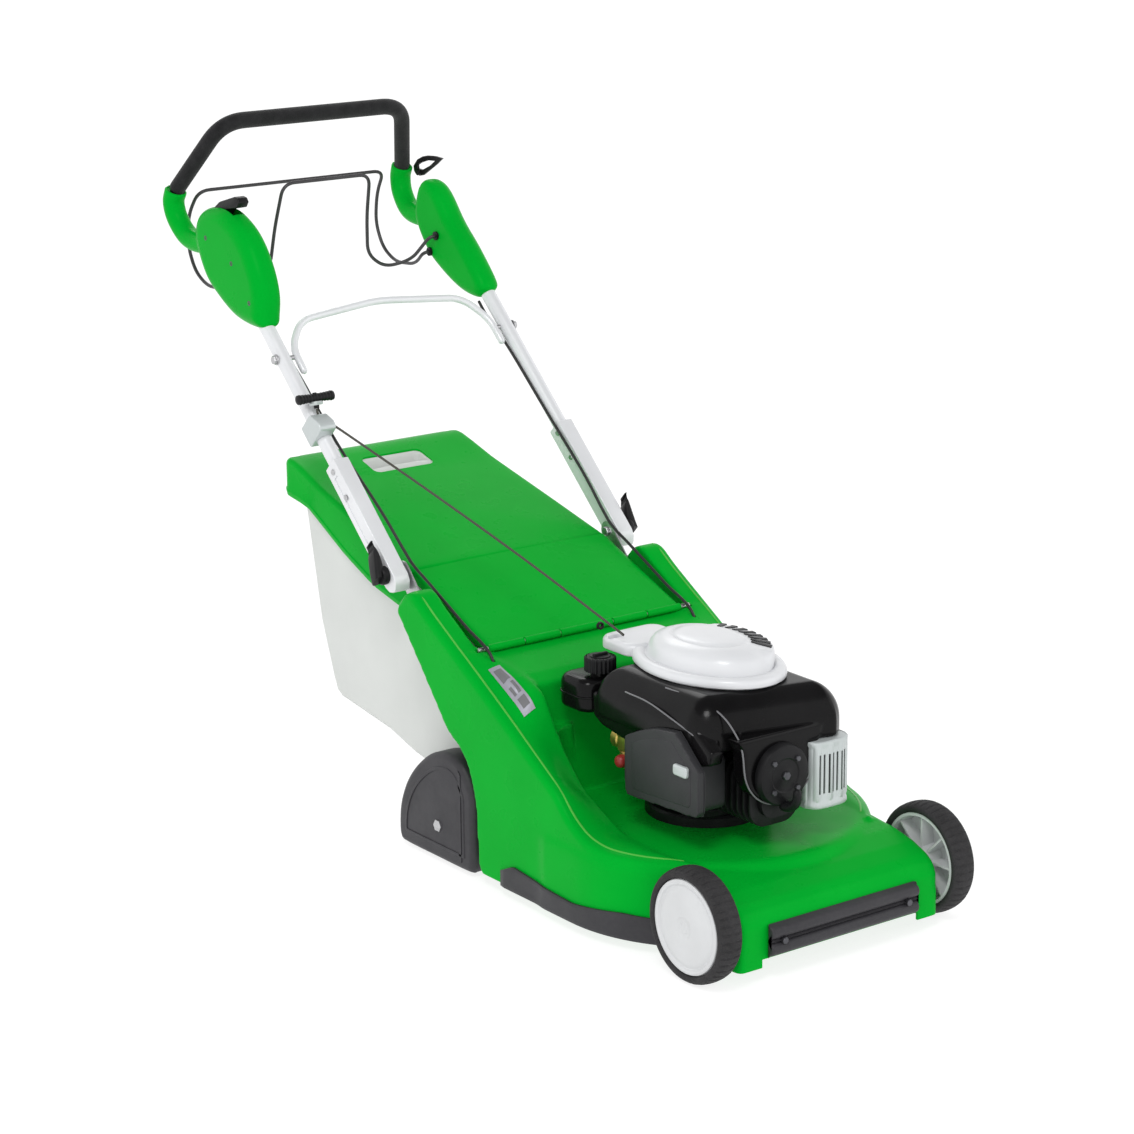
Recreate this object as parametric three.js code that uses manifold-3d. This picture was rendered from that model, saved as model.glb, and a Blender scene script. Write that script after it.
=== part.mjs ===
// A petrol rotary lawn mower with a driven rear roller and a rear grass box.
// Millimetres, +Z up, the front of the mower faces -Y, its right-hand side is -X.
// Lengths along Y are counted from the front wheels' axis; the whole machine is then shifted
// so that the origin is under the middle of its overall box.
import * as THREE from "three";
import { mergeVertices } from "three/addons/utils/BufferGeometryUtils.js";
import Module from "manifold-3d";

const wasm = await Module();
wasm.setup();

// ---------------------------------------------------------------- driving dimensions
const GAP = 0.3; // between pieces that touch
const FRONT_AXLE_Y = -665.2; // place of the front wheels' axis in the part's frame

const WHEEL_R = 85;
const WHEEL_WIDTH = 42;
const HALF_TRACK = 221;
const HUB_R = 70;

const ROLLER_R = 62.5;
const ROLLER_Y = 610;
const ROLLER_END = 192;

const CRANK_Y = 250; // vertical engine shaft
const SHAFT_R = 12;
const BLADE_R = 213;
const CHAMBER_R = 224;
const DECK_R = 250; // round belly of the deck around the blade
const DECK_BOTTOM = 20;
const DECK_TOP = 140;
const SKIN = 4;
const HOOD_HALF = 186; // half width between the front wheels
const HORN_IN = 203; // the two horns that carry the handle
const HORN_OUT = 246;
const FLAP_HALF = 188;

const CRANK_ARM = { y: -45, z: 74 }; // pivot of the front axle's crank
const ROLLER_PIVOT = { y: 490, z: 41.5 };
const FLAP_HINGE = { y: 548, z: 354 };

const HANDLE_X = 221;
const HANDLE_TILT = Math.atan(0.946); // 43.4 degrees
const FOLD = { y: 755, z: 434 }; // pivot where the handle folds forward
const TUBE_R = 12.5;
const GRIP_R = 14;
const GRIP_BAR_R = 9.5;
const WIRE_R = 3;
const ROPE_R = 2;
const CABLE_R = 2.5;
const CABLE_X = 195.5; // the control cables lie in the grooves beside the flap
const SKIRT = 5;

const STOP_BAIL = { y: 1255, z: 832 };
const DRIVE_BAIL = { y: 1235, z: 862 };
const ROPE_EXIT = [-62, 372, 394]; // the starter rope's mouth in the engine cap
const STARTER_SEAT = [-222, 968.5, 679]; // middle of the starter handle at rest

const ALONG = [0, Math.cos(HANDLE_TILT), Math.sin(HANDLE_TILT)]; // up the handle tubes
const ACROSS = [0, -Math.sin(HANDLE_TILT), Math.cos(HANDLE_TILT)]; // square to them, forward

// ---------------------------------------------------------------- materials
const paint = (color, roughness, metalness = 0) =>
  new THREE.MeshStandardMaterial({ color, roughness, metalness });
const GREEN = paint("#00a32c", 0.35);
const DARK = paint("#3c3c40", 0.6);
const BLACK = paint("#0c0c0e", 0.25);
const WHITE = paint("#e9ecee", 0.35);
const BOX_GREY = paint("#d8dcd8", 0.6);
const HUB_GREY = paint("#e0e4e6", 0.45);
const TYRE = paint("#2b2b2f", 0.85);
const FOAM = paint("#26262a", 0.95);
const STEEL = paint("#b9bcc0", 0.35, 0.9);
const DARK_STEEL = paint("#55585c", 0.5, 0.8);
const ALLOY = paint("#9a9da1", 0.5, 0.8);
const BRASS = paint("#b59a45", 0.4, 0.8);
const CORD = paint("#b8b2a4", 0.9);

// ---------------------------------------------------------------- solids
function solid(geometry) {
  const bare = geometry.clone();
  bare.deleteAttribute("normal");
  bare.deleteAttribute("uv");
  const merged = mergeVertices(bare, 1e-4);
  const vertProperties = merged.attributes.position.array;
  const triVerts = new Uint32Array(merged.index.array);
  return new wasm.Manifold(new wasm.Mesh({ numProp: 3, vertProperties, triVerts }));
}

function geometryOf(manifold) {
  const { vertProperties, triVerts } = manifold.getMesh();
  const geometry = new THREE.BufferGeometry();
  geometry.setAttribute("position", new THREE.BufferAttribute(vertProperties, 3));
  geometry.setIndex(new THREE.BufferAttribute(triVerts, 1));
  const flat = geometry.toNonIndexed();
  flat.computeVertexNormals();
  return flat;
}

const union = (...parts) => parts.reduce((all, part) => all.add(part));
const cut = (body, ...tools) => tools.reduce((left, tool) => left.subtract(tool), body);
const mirrored = (manifold) => manifold.mirror([1, 0, 0]);

// A flat outline pushed along an axis. The outline's two numbers are (y, z), (x, z) or (x, y).
const AXES = {
  x: [new THREE.Vector3(0, 1, 0), new THREE.Vector3(0, 0, 1), new THREE.Vector3(1, 0, 0)],
  y: [new THREE.Vector3(1, 0, 0), new THREE.Vector3(0, 0, 1), new THREE.Vector3(0, -1, 0)],
  z: [new THREE.Vector3(1, 0, 0), new THREE.Vector3(0, 1, 0), new THREE.Vector3(0, 0, 1)],
};
function prism(axis, outline, from, to, hole) {
  const shape = new THREE.Shape(outline.map(([a, b]) => new THREE.Vector2(a, b)));
  if (hole) shape.holes.push(new THREE.Path(hole.map(([a, b]) => new THREE.Vector2(a, b))));
  const depth = to - from;
  const geometry = new THREE.ExtrudeGeometry(shape, { depth, bevelEnabled: false });
  geometry.translate(0, 0, axis === "y" ? -to : from);
  return solid(geometry.applyMatrix4(new THREE.Matrix4().makeBasis(...AXES[axis])));
}

function box(x0, x1, y0, y1, z0, z1) {
  const geometry = new THREE.BoxGeometry(x1 - x0, y1 - y0, z1 - z0);
  return solid(geometry.translate((x0 + x1) / 2, (y0 + y1) / 2, (z0 + z1) / 2));
}

function arc(cx, cy, radius, from, to, steps) {
  return Array.from({ length: steps + 1 }, (_, i) => {
    const a = ((from + ((to - from) * i) / steps) * Math.PI) / 180;
    return [cx + radius * Math.cos(a), cy + radius * Math.sin(a)];
  });
}
const circle = (cx, cy, radius, steps) => arc(cx, cy, radius, 0, 360, steps).slice(0, steps);

function roundedBox(cx, cy, width, height, radius, steps = 3) {
  const [w, h] = [width / 2 - radius, height / 2 - radius];
  return [
    ...arc(cx + w, cy + h, radius, 0, 90, steps),
    ...arc(cx - w, cy + h, radius, 90, 180, steps),
    ...arc(cx - w, cy - h, radius, 180, 270, steps),
    ...arc(cx + w, cy - h, radius, 270, 360, steps),
  ];
}

// A round bar along one axis through (a, b), the two other coordinates in X, Y, Z order.
const bar = (axis, a, b, radius, from, to, steps = 24) =>
  prism(axis, circle(a, b, radius, steps), from, to);

// A profile of (radius, height) pairs turned about an axis through (a, b).
function turned(axis, profile, a, b, steps = 32) {
  const points = profile.map(([r, h]) => new THREE.Vector2(r, h));
  const geometry = new THREE.LatheGeometry(points, steps);
  if (axis === "z") geometry.rotateX(Math.PI / 2).translate(a, b, 0);
  if (axis === "x") geometry.rotateZ(-Math.PI / 2).translate(0, a, b);
  return solid(geometry);
}

function between(start, end, radius, steps = 16) {
  const [a, b] = [new THREE.Vector3(...start), new THREE.Vector3(...end)];
  const direction = b.clone().sub(a);
  const geometry = new THREE.CylinderGeometry(radius, radius, direction.length(), steps);
  const up = new THREE.Vector3(0, 1, 0);
  const turn = new THREE.Quaternion().setFromUnitVectors(up, direction.normalize());
  const middle = a.add(b).multiplyScalar(0.5);
  return solid(geometry.applyQuaternion(turn).translate(...middle.toArray()));
}

// A straight-sided path whose corners are rounded by the given radius.
function roundedPath(points, radius) {
  const corners = points.map((p) => new THREE.Vector3(...p));
  const path = new THREE.CurvePath();
  let last = corners[0];
  for (let i = 1; i < corners.length - 1; i++) {
    const [before, corner, after] = [corners[i - 1], corners[i], corners[i + 1]];
    const reach = Math.min(radius, corner.distanceTo(before) / 2.2, corner.distanceTo(after) / 2.2);
    const enter = corner.clone().add(before.clone().sub(corner).setLength(reach));
    const leave = corner.clone().add(after.clone().sub(corner).setLength(reach));
    path.add(new THREE.LineCurve3(last, enter));
    path.add(new THREE.QuadraticBezierCurve3(enter, corner, leave));
    last = leave;
  }
  path.add(new THREE.LineCurve3(last, corners.at(-1)));
  return path;
}

function tube(path, radius, { sides = 10, steps = 40, bore = 0 } = {}) {
  const shape = new THREE.Shape(circle(0, 0, radius, sides).map((p) => new THREE.Vector2(...p)));
  if (bore) {
    const hole = circle(0, 0, bore, sides).map((p) => new THREE.Vector2(...p));
    shape.holes.push(new THREE.Path(hole));
  }
  return solid(new THREE.ExtrudeGeometry(shape, { steps, bevelEnabled: false, extrudePath: path }));
}
const curve = (points) =>
  new THREE.CatmullRomCurve3(points.map((p) => new THREE.Vector3(...p)), false, "centripetal");

const offset = (point, ...moves) =>
  moves.reduce((p, [direction, by]) => p.map((v, i) => v + direction[i] * by), point);
const onTube = (x, along, across = 0) =>
  offset([x, FOLD.y, FOLD.z], [ALONG, along], [ACROSS, across]);

// ---------------------------------------------------------------- the machine
const machine = new THREE.Group();
machine.position.y = FRONT_AXLE_Y;

function add(name, manifold, material) {
  const mesh = new THREE.Mesh(geometryOf(manifold), material);
  mesh.name = name;
  machine.add(mesh);
}
function addPair(name, rightSide, material) {
  add(`${name}_right`, rightSide, material);
  add(`${name}_left`, mirrored(rightSide), material);
}

// ---------------------------------------------------------------- deck
const HORN_TOP = [
  [100, 140],
  [203, 141],
  [271, 170],
  [300, 205],
  [399, 264],
  [501, 325],
  [633, 402],
  [671, 429],
  [705, 410],
];
const CHUTE = [
  [360, 90],
  [360, 131],
  [410, 132],
  [426, 142],
  [456, 311],
  [570, 338],
  [570, 141],
  [466, 103],
  [455, 90],
];
const SHOULDER_ROOM = [
  [335, 120],
  [335, 184],
  [384, 236],
  [428, 308],
  [538, 337],
  [538, 120],
];
const TUNNEL_ROOM = [
  [427, 120],
  [456, 310],
  [538, 337],
  [555, 337],
  [555, 138],
  [502, 120],
];
const HORN_REAR = [
  [709, 388],
  [643, 307],
  [577, 227],
  [543, 207],
  [525, 189],
  [502, 135],
  [499, 20],
];

// Plan of one side of the deck: round beside the blade, then flat towards the horn.
const bellySide = (grow) => [
  ...arc(0, CRANK_Y, DECK_R + grow, -42, 0, 12),
  [DECK_R + grow, 322],
  [HORN_OUT + grow, 350],
];
const bellyPlan = (grow) => [
  ...bellySide(grow),
  ...arc(0, CRANK_Y, DECK_R + grow, 60, 120, 6),
  ...bellySide(grow).map(([x, y]) => [-x, y]).reverse(),
  ...arc(0, CRANK_Y, DECK_R + grow, 228, 312, 14).slice(1, -1),
];

function deckHousing() {
  const side = prism("x", [[100, 20], ...HORN_TOP, ...HORN_REAR], HORN_IN, HORN_OUT);
  const inside = [
    [104, 10],
    [104, 136],
    [205, 137],
    [268, 166],
    [297, 201],
    [397, 260],
    [499, 321],
    [631, 398],
    [668, 424],
    [699, 407],
    [704, 390],
    [639, 310],
    [574, 231],
    [540, 211],
    [521, 191],
    [498, 136],
    [495, 10],
  ];
  const hornRoom = prism("x", inside, HORN_IN + SKIN, HORN_OUT - SKIN);
  const hollow = cut(hornRoom, bar("z", 0, CRANK_Y, DECK_R + 1, 0, DECK_TOP - SKIN, 56));
  const shoulder = prism(
    "x",
    [[236, 136], [236, 147], [326, 184], [387, 246], [424, 313], [545, 344], [545, 136]],
    170,
    HORN_IN + 0.5,
  );
  const middle = prism(
    "x",
    [[420, 136], [452, 318], [536, 342], [560, 342], [560, 132], [500, 112], [497, 20], [420, 20]],
    -HORN_IN - 0.5,
    HORN_IN + 0.5,
  );
  const hood = prism(
    "x",
    [[-60, 20], [-60, 84], [-48, 108], [-10, 130], [30, DECK_TOP], [120, DECK_TOP], [120, 20]],
    -HOOD_HALF,
    HOOD_HALF,
  );
  const belly = prism("z", bellyPlan(0), DECK_BOTTOM, DECK_TOP);
  const base = prism(
    "z",
    [[-HORN_OUT, 300], [HORN_OUT, 300], [HORN_OUT, 497], [-HORN_OUT, 497]],
    DECK_BOTTOM,
    DECK_TOP,
  );
  const plan = [
    ...bellySide(0),
    [HORN_OUT, 720],
    [-HORN_OUT, 720],
    ...bellySide(0).map(([x, y]) => [-x, y]).reverse(),
    [-HOOD_HALF, -70],
    [HOOD_HALF, -70],
  ];
  const outer = union(side, mirrored(side), shoulder, mirrored(shoulder), middle, hood, belly, base);
  const body = outer.intersect(prism("z", plan, 0, 450));

  const ceiling = DECK_TOP - 2 * SKIN;
  const disc = (radius, top) => bar("z", 0, CRANK_Y, radius, 0, top, 56);
  const chamber = disc(CHAMBER_R, ceiling);
  const volute = disc(CHAMBER_R + SKIN, DECK_TOP); // what stays round the chamber as its wall
  const bellyRoom = cut(disc(DECK_R - SKIN, ceiling), volute, box(-300, 300, 330, 520, -1, 150));
  const cornerRoom = cut(box(154, HORN_IN - SKIN, 330, 493, 0, ceiling), volute);
  const shoulderRoom = prism("x", SHOULDER_ROOM, 174, HORN_IN - SKIN);
  const tunnelRoom = prism("x", TUNNEL_ROOM, 154, HORN_IN - SKIN);
  const hoodRoof = [[-56, 0], [-56, 82], [-45, 104], [-8, 126], [20, 132], [20, 0]];
  const underHood = prism("x", hoodRoof, -HOOD_HALF + SKIN, HOOD_HALF - SKIN);
  const hoodRoom = cut(underHood, volute);
  const chute = prism("x", CHUTE, -150, 150);
  const engineWell = bar("z", 0, CRANK_Y, 60, 100, 150, 32);
  const beltSlot = box(-36, 36, 462, 505, 77, 99);
  const armPocket = box(193, HORN_IN + 1, 466, 510, 10, 108);
  const hingeHole = bar("x", FLAP_HINGE.y, FLAP_HINGE.z, 4.3, 190, HORN_IN + 5, 12);
  const cableHole = bar("z", CABLE_X, 522, CABLE_R + 1, 318, 345, 12);
  const pivotHole = bar("x", ROLLER_PIVOT.y, ROLLER_PIVOT.z, 5.3, 190, HORN_IN + 10);
  const stubSlot = prism("x", roundedBox(-5, 64, 26, 60, 10), HOOD_HALF - 8, HOOD_HALF + 8);
  const rooms = union(cornerRoom, shoulderRoom, tunnelRoom);
  const tools = [rooms, armPocket, pivotHole, stubSlot, hingeHole, cableHole];
  const hollowed = cut(
    body,
    chamber,
    bellyRoom,
    hoodRoom,
    chute,
    engineWell,
    beltSlot,
    hollow,
    mirrored(hollow),
    ...tools,
    ...tools.map(mirrored),
  );
  const bearing = cut(
    box(150, 156, -57, -30, 60, 106),
    bar("x", CRANK_ARM.y, CRANK_ARM.z, 7.3, 140, 170),
  );
  return union(hollowed, bearing, mirrored(bearing));
}

function frontBumper() {
  const rib = (z) => bar("x", -66, z, 9, -140, 140, 12);
  const web = box(-140, 140, -70, -60 - GAP, 34, 84);
  const body = union(rib(47), rib(72), web);
  return cut(body, box(-150, 150, -60 - GAP, -40, 0, 120));
}

function sideSkirt() {
  const outer = bellyPlan(SKIRT);
  const inner = bellyPlan(GAP);
  const ring = [
    ...outer.slice(0, 15),
    [HORN_OUT + SKIRT, 440],
    [HORN_OUT + GAP, 440],
    ...inner.slice(0, 15).reverse(),
  ];
  const band = prism("z", ring, 16, 58);
  const keep = box(150, 270, 118, 440, 0, 100);
  return mirrored(band.intersect(keep));
}

function rearFlap() {
  const top = [[549, 358], [747, 434]];
  const thickness = 3;
  const plate = prism(
    "x",
    [[549, 358 - thickness], ...top, [747, 434 - thickness]],
    -FLAP_HALF,
    FLAP_HALF,
  );
  const cheek = prism(
    "x",
    [[566, 361], [566, 346], [735, 414], [745, 433]],
    FLAP_HALF - 3,
    FLAP_HALF,
  );
  const knuckle = bar("x", FLAP_HINGE.y, FLAP_HINGE.z, 6, -FLAP_HALF, FLAP_HALF, 16);
  const pin = bar("x", FLAP_HINGE.y, FLAP_HINGE.z, 4, -HORN_IN - 3, HORN_IN + 3, 12);
  return union(plate, cheek, mirrored(cheek), knuckle, pin);
}

function bracket() {
  const start = onTube(-HORN_IN, -118, -6);
  const plate = [
    ...arc(FOLD.y, FOLD.z, 17, -40, 130, 6),
    [start[1] - 6, start[2] + 14],
    [start[1] + 6, start[2] - 14],
  ];
  const sheet = prism("x", plate, -HORN_IN + GAP, -HORN_IN + GAP + 3);
  const bolt = (along) => {
    const [, y, z] = onTube(0, along, -8);
    return bar("x", y, z, 6, -HORN_IN + GAP + 2.5, -HORN_IN + 7, 6);
  };
  const hole = bar("x", FOLD.y, FOLD.z, 5.3, -210, -190);
  return cut(union(sheet, bolt(-100), bolt(-68)), hole);
}

add("deck_housing", deckHousing(), GREEN);
add("front_bumper", frontBumper(), DARK);
addPair("side_skirt", sideSkirt(), DARK);
add("rear_flap", rearFlap(), GREEN);
addPair("handle_bracket", bracket(), STEEL);

// ---------------------------------------------------------------- engine
function engineBlock() {
  const flange = bar("z", 0, CRANK_Y, 92, DECK_TOP + GAP, 158, 32);
  const spigot = bar("z", 0, CRANK_Y, 59, 113, DECK_TOP + 1, 32);
  const crankcase = prism("z", roundedBox(0, CRANK_Y - 5, 150, 160, 30), 157, 238);
  const neck = bar("z", 0, CRANK_Y, 36, 237, 285, 20);
  const oilNeck = between([58, 195, 200], [92, 172, 248], 13, 14);
  const bore = bar("z", 0, CRANK_Y, SHAFT_R + 0.4, 100, 300);
  return cut(union(flange, spigot, crankcase, neck, oilNeck), bore);
}

function engineCylinder() {
  const barrel = prism("y", roundedBox(-26, 222, 66, 66, 20), 46, 165 - GAP);
  const fin = (i) => prism("y", roundedBox(-26, 222, 92, 96, 14), 58 + i * 14, 63 + i * 14);
  const fins = Array.from({ length: 7 }, (_, i) => fin(i));
  const head = bar("y", -28, 256, 46, 34, 48, 32);
  const boot = between([-26, 36, 212], [-28, 8, 236], 8, 12);
  return union(barrel, head, boot, ...fins);
}

const SHROUD = [
  ...arc(60, 88, 46, -75, 10, 4),
  ...arc(48, 330, 60, 0, 80, 4),
  [-30, 398],
  [-48, 352],
  [-128, 350],
  ...arc(-92, 130, 46, 180, 255, 4),
];
const inset = (outline, by) => {
  const size = outline.length;
  return outline.map(([x, y], i) => {
    const [ax, ay] = outline[(i + size - 1) % size];
    const [bx, by2] = outline[(i + 1) % size];
    const [dx, dy] = [bx - ax, by2 - ay];
    const length = Math.hypot(dx, dy);
    return [x - (dy / length) * by, y + (dx / length) * by];
  });
};

function blowerHousing() {
  const skirt = prism("z", SHROUD, 292, 338);
  const shoulder = prism("z", inset(SHROUD, 9), 337, 356);
  const top = prism("z", inset(SHROUD, 22), 355, 368);
  const lowRoom = prism("z", inset(SHROUD, 4), 280, 334);
  const highRoom = prism("z", inset(SHROUD, 13), 330, 350);
  const flywheelRoom = bar("z", 0, CRANK_Y, 74, 340, 362, 28);
  const crankRoom = bar("z", 0, CRANK_Y, 46, 340, 380, 28);
  return cut(union(skirt, shoulder, top), lowRoom, highRoom, flywheelRoom, crankRoom);
}

function engineCap() {
  const plan = Array.from({ length: 32 }, (_, i) => {
    const a = (i / 32) * 2 * Math.PI;
    return [-8 + 97 * Math.cos(a), 234 + 138 * Math.sin(a)];
  });
  const low = prism("z", plan, 368 + GAP, 384);
  const high = union(prism("z", inset(plan, 20), 383, 404), prism("z", inset(plan, 40), 403, 420));
  const rear = prism("z", roundedBox(-20, 372, 112, 94, 18), 368 + GAP, 386);
  const room = bar("z", 0, CRANK_Y, 62, 360, 390, 28);
  const outlet = bar("y", ROPE_EXIT[0], ROPE_EXIT[2], 6, 340, 430, 10);
  return cut(union(low, high, rear), room, outlet);
}

function airFilterBox() {
  const body = prism("x", roundedBox(185, 241, 168, 88, 14), -140, -82);
  const outline = [
    [80, 212],
    [92, 203],
    [240, 195],
    [252, 206],
    [252, 282],
    [192, 310],
    [136, 318],
    [82, 272],
  ];
  const lid = prism("x", outline, -151, -139);
  const latch = box(-156, -150, 101, 134, 257, 277);
  return union(body, lid, latch);
}

function muffler() {
  return prism("z", roundedBox(62, 92, 60, 82, 14), 196, 286);
}

function mufflerGuard() {
  const shell = prism("z", roundedBox(62, 80, 76, 92, 16), 190, 291);
  const room = prism("z", roundedBox(62, 88, 66, 96, 12), 180, 288);
  const open = box(20, 140, 62, 140, 180, 300);
  const slot = (i) => box(36 + i * 9.4, 40 + i * 9.4, 20, 60, 204, 280);
  const slots = Array.from({ length: 6 }, (_, i) => slot(i));
  return cut(shell, room, open, ...slots);
}

const FILLER = [-100, 379];
function fuelTank() {
  const body = prism("z", roundedBox(-98, 396, 92, 78, 24), 286, 338);
  const neck = bar("z", FILLER[0], FILLER[1], 15, 330, 344, 16);
  return union(body, neck);
}

function carburettor() {
  const bowl = bar("z", -100, 302, 17, 212, 240, 16);
  const throat = bar("y", -100, 252, 15, 274, 332, 16);
  return union(bowl, throat, bar("z", -100, 302, 8, 238, 245, 12));
}

function screwCap(x, y, z, radius, height) {
  const lobes = 10;
  const outline = Array.from({ length: lobes * 2 }, (_, i) => {
    const a = (i / lobes) * Math.PI;
    const r = radius - (i % 2) * 1.6;
    return [x + r * Math.cos(a), y + r * Math.sin(a)];
  });
  const top = bar("z", x, y, radius - 5, z + height - 4, z + height, 16);
  return union(prism("z", outline, z, z + height - 3), top);
}

function oilCap() {
  const grip = union(
    turned("z", [[0, 0], [15, 0], [15, 10], [12, 14], [0, 14]], 0, 0, 16),
    box(-4, 4, -14, 14, 13, 22),
  );
  const tilt = (Math.atan2(Math.hypot(34, 23), 48) * 180) / Math.PI;
  const heading = (Math.atan2(-23, 34) * 180) / Math.PI;
  const place = offset([92, 172, 248], [[34, -23, 48], GAP / 63]);
  return grip.rotate([0, tilt, 0]).rotate([0, 0, heading]).translate(place);
}

add("engine_block", engineBlock(), ALLOY);
add("engine_cylinder", engineCylinder(), DARK_STEEL);
add("blower_housing", blowerHousing(), BLACK);
add("engine_cap", engineCap(), WHITE);
add("air_filter_box", airFilterBox(), DARK);
add("muffler", muffler(), DARK_STEEL);
add("muffler_guard", mufflerGuard(), WHITE);
add("fuel_tank", cut(fuelTank(), bar("z", ...FILLER, 11, 296, 360, 16)), BLACK);
add("fuel_cap", screwCap(...FILLER, 344 + GAP, 24, 28), BLACK);
add("carburettor", carburettor(), BRASS);
add("oil_cap", oilCap(), BLACK);

// ---------------------------------------------------------------- turning parts under the engine
function crankshaft() {
  const shaft = bar("z", 0, CRANK_Y, SHAFT_R, 62.6, 330, 20);
  const pulley = bar("z", 0, CRANK_Y, 26, 79, 98, 28);
  return union(shaft, pulley);
}

function flywheel() {
  const disc = bar("z", 0, CRANK_Y, 68, 300, 322, 36);
  const fin = box(40, 66, -2, 2, 321, 338);
  const placed = (i) => fin.rotate([0, 0, i * 30]).translate([0, CRANK_Y, 0]);
  const fins = Array.from({ length: 12 }, (_, i) => placed(i));
  return cut(union(disc, ...fins), bar("z", 0, CRANK_Y, SHAFT_R + GAP, 290, 340, 20));
}

function recoilPulley() {
  const rim = (z) => bar("z", 0, CRANK_Y, 42, z, z + 4, 28);
  const core = bar("z", 0, CRANK_Y, 36, 349, 357, 28);
  const boss = bar("z", 0, CRANK_Y, 9, 359, 378, 14);
  return union(rim(346), rim(356), core, boss);
}

function bladeCarrier() {
  const boss = bar("z", 0, CRANK_Y, 20, 38.6, 62.3, 20);
  const plate = prism("z", roundedBox(0, CRANK_Y, 96, 48, 6), 38.6, 46);
  const boltShank = bar("z", 0, CRANK_Y, 5, 30, 40, 14);
  const boltHead = union(bar("z", 0, CRANK_Y, 12, 25, 34, 6), bar("z", 0, CRANK_Y, 18, 31, 34, 20));
  return union(boss, plate, boltShank, boltHead);
}

function blade() {
  const flat = prism("z", roundedBox(0, CRANK_Y, 2 * BLADE_R - 12, 52, 4), 34.3, 38.3);
  const wing = prism("x", [[17, 34.3], [26, 34.3], [30, 50], [27, 51]], 138, 205);
  const wings = union(wing, wing.rotate([0, 0, 180])).translate([0, CRANK_Y, 0]);
  return cut(union(flat, wings), bar("z", 0, CRANK_Y, 5.3, 30, 70));
}

const GEAR_Y = 522;
function gearbox() {
  const casing = prism("z", roundedBox(0, GEAR_Y, 70, 36, 8), 42, 76);
  const output = bar("x", GEAR_Y, 58, 6, -185, 185, 16);
  const lug = box(36, 42, GEAR_Y - 16, GEAR_Y + 16, 44, 112);
  const foot = box(30, 38, GEAR_Y - 14, GEAR_Y + 14, 46, 74);
  return cut(union(casing, output, lug, foot), bar("z", 0, GEAR_Y, 7.3, 60, 80));
}
const gearPulley = () => union(bar("z", 0, GEAR_Y, 22, 80, 97, 24), bar("z", 0, GEAR_Y, 7, 62, 81, 16));

function driveBelt() {
  const [front, rear] = [26, 22];
  const lean = (Math.asin((front - rear) / (GEAR_Y - CRANK_Y)) * 180) / Math.PI;
  const loop = (grow) => [
    ...arc(0, CRANK_Y, front + grow, 180 + lean, 360 - lean, 12),
    ...arc(0, GEAR_Y, rear + grow, -lean, 180 + lean, 12),
  ];
  return prism("z", loop(5), 84, 92, loop(GAP));
}

add("crankshaft", crankshaft(), STEEL);
add("flywheel", flywheel(), ALLOY);
add("recoil_pulley", recoilPulley(), DARK);
add("blade_carrier", bladeCarrier(), ALLOY);
add("blade", blade(), DARK_STEEL);
add("gearbox", gearbox(), ALLOY);
add("gearbox_pulley", gearPulley(), DARK_STEEL);
add("drive_belt", driveBelt(), TYRE);

// ---------------------------------------------------------------- wheels, roller, cutting height
function frontAxle() {
  const rod = bar("x", CRANK_ARM.y, CRANK_ARM.z, 7, -172, 172, 16);
  const arm = prism(
    "x",
    [...arc(CRANK_ARM.y, CRANK_ARM.z, 10, 104, 284, 6), ...arc(0, WHEEL_R, 10, -76, 104, 6)],
    166,
    174,
  );
  const stub = bar("x", 0, WHEEL_R, 6, 173, 228, 16);
  return union(rod, arm, mirrored(arm), stub, mirrored(stub));
}

function tyre() {
  const half = WHEEL_WIDTH / 2;
  const profile = [
    [HUB_R + GAP, -half + 3],
    [HUB_R + 4, -half],
    [WHEEL_R - 5, -half],
    [WHEEL_R - 1, -half + 5],
    [WHEEL_R, -half + 12],
    [WHEEL_R, half - 12],
    [WHEEL_R - 1, half - 5],
    [WHEEL_R - 5, half],
    [HUB_R + 4, half],
    [HUB_R + GAP, half - 3],
    [HUB_R + GAP, -half + 3],
  ];
  return turned("x", profile, 0, WHEEL_R, 36).translate([-HALF_TRACK, 0, 0]);
}

function hub() {
  const half = WHEEL_WIDTH / 2;
  const outline = [
    [0, -half - 1],
    [30, -half],
    [60, -half + 2.5],
    [HUB_R, -half + 4],
    [HUB_R, half - 4],
    [HUB_R - 4, half - 4],
    [HUB_R - 6, -2],
    [20, -2],
    [18, half - 2],
    [0, half - 2],
    [0, -half - 1],
  ];
  const disc = turned("x", outline, 0, WHEEL_R, 28).translate([-HALF_TRACK, 0, 0]);
  return cut(disc, bar("x", 0, WHEEL_R, 6.3, -230, -190, 16));
}

function rollerDrum() {
  const profile = [
    [8.6, 84],
    [ROLLER_R - 6, 84],
    [ROLLER_R - 5, 3],
    [ROLLER_R, 1],
    [ROLLER_R, ROLLER_END],
    [ROLLER_R - 6, ROLLER_END],
    [ROLLER_R - 5, 96],
    [8.6, 96],
    [8.6, 84],
  ];
  return turned("x", profile, ROLLER_Y, ROLLER_R, 32);
}

function rollerFrame() {
  const outline = [
    ...arc(ROLLER_PIVOT.y, ROLLER_PIVOT.z, 12, 100, 280, 6),
    ...arc(ROLLER_Y, ROLLER_R, 14, -80, 100, 6),
  ];
  const arm = prism("x", outline, 196, 200);
  const lug = prism("x", [[536, 60], [552, 60], [552, 116], [538, 116]], 196, 200);
  const pin = bar("x", ROLLER_PIVOT.y, ROLLER_PIVOT.z, 5, 199, 206, 14);
  const side = union(arm, lug, pin);
  const tie = bar("x", 545, 110, 4.5, -197, 197, 12);
  const shaft = bar("x", ROLLER_Y, ROLLER_R, 8, -234, 234, 16);
  return union(side, mirrored(side), tie, shaft);
}

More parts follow.
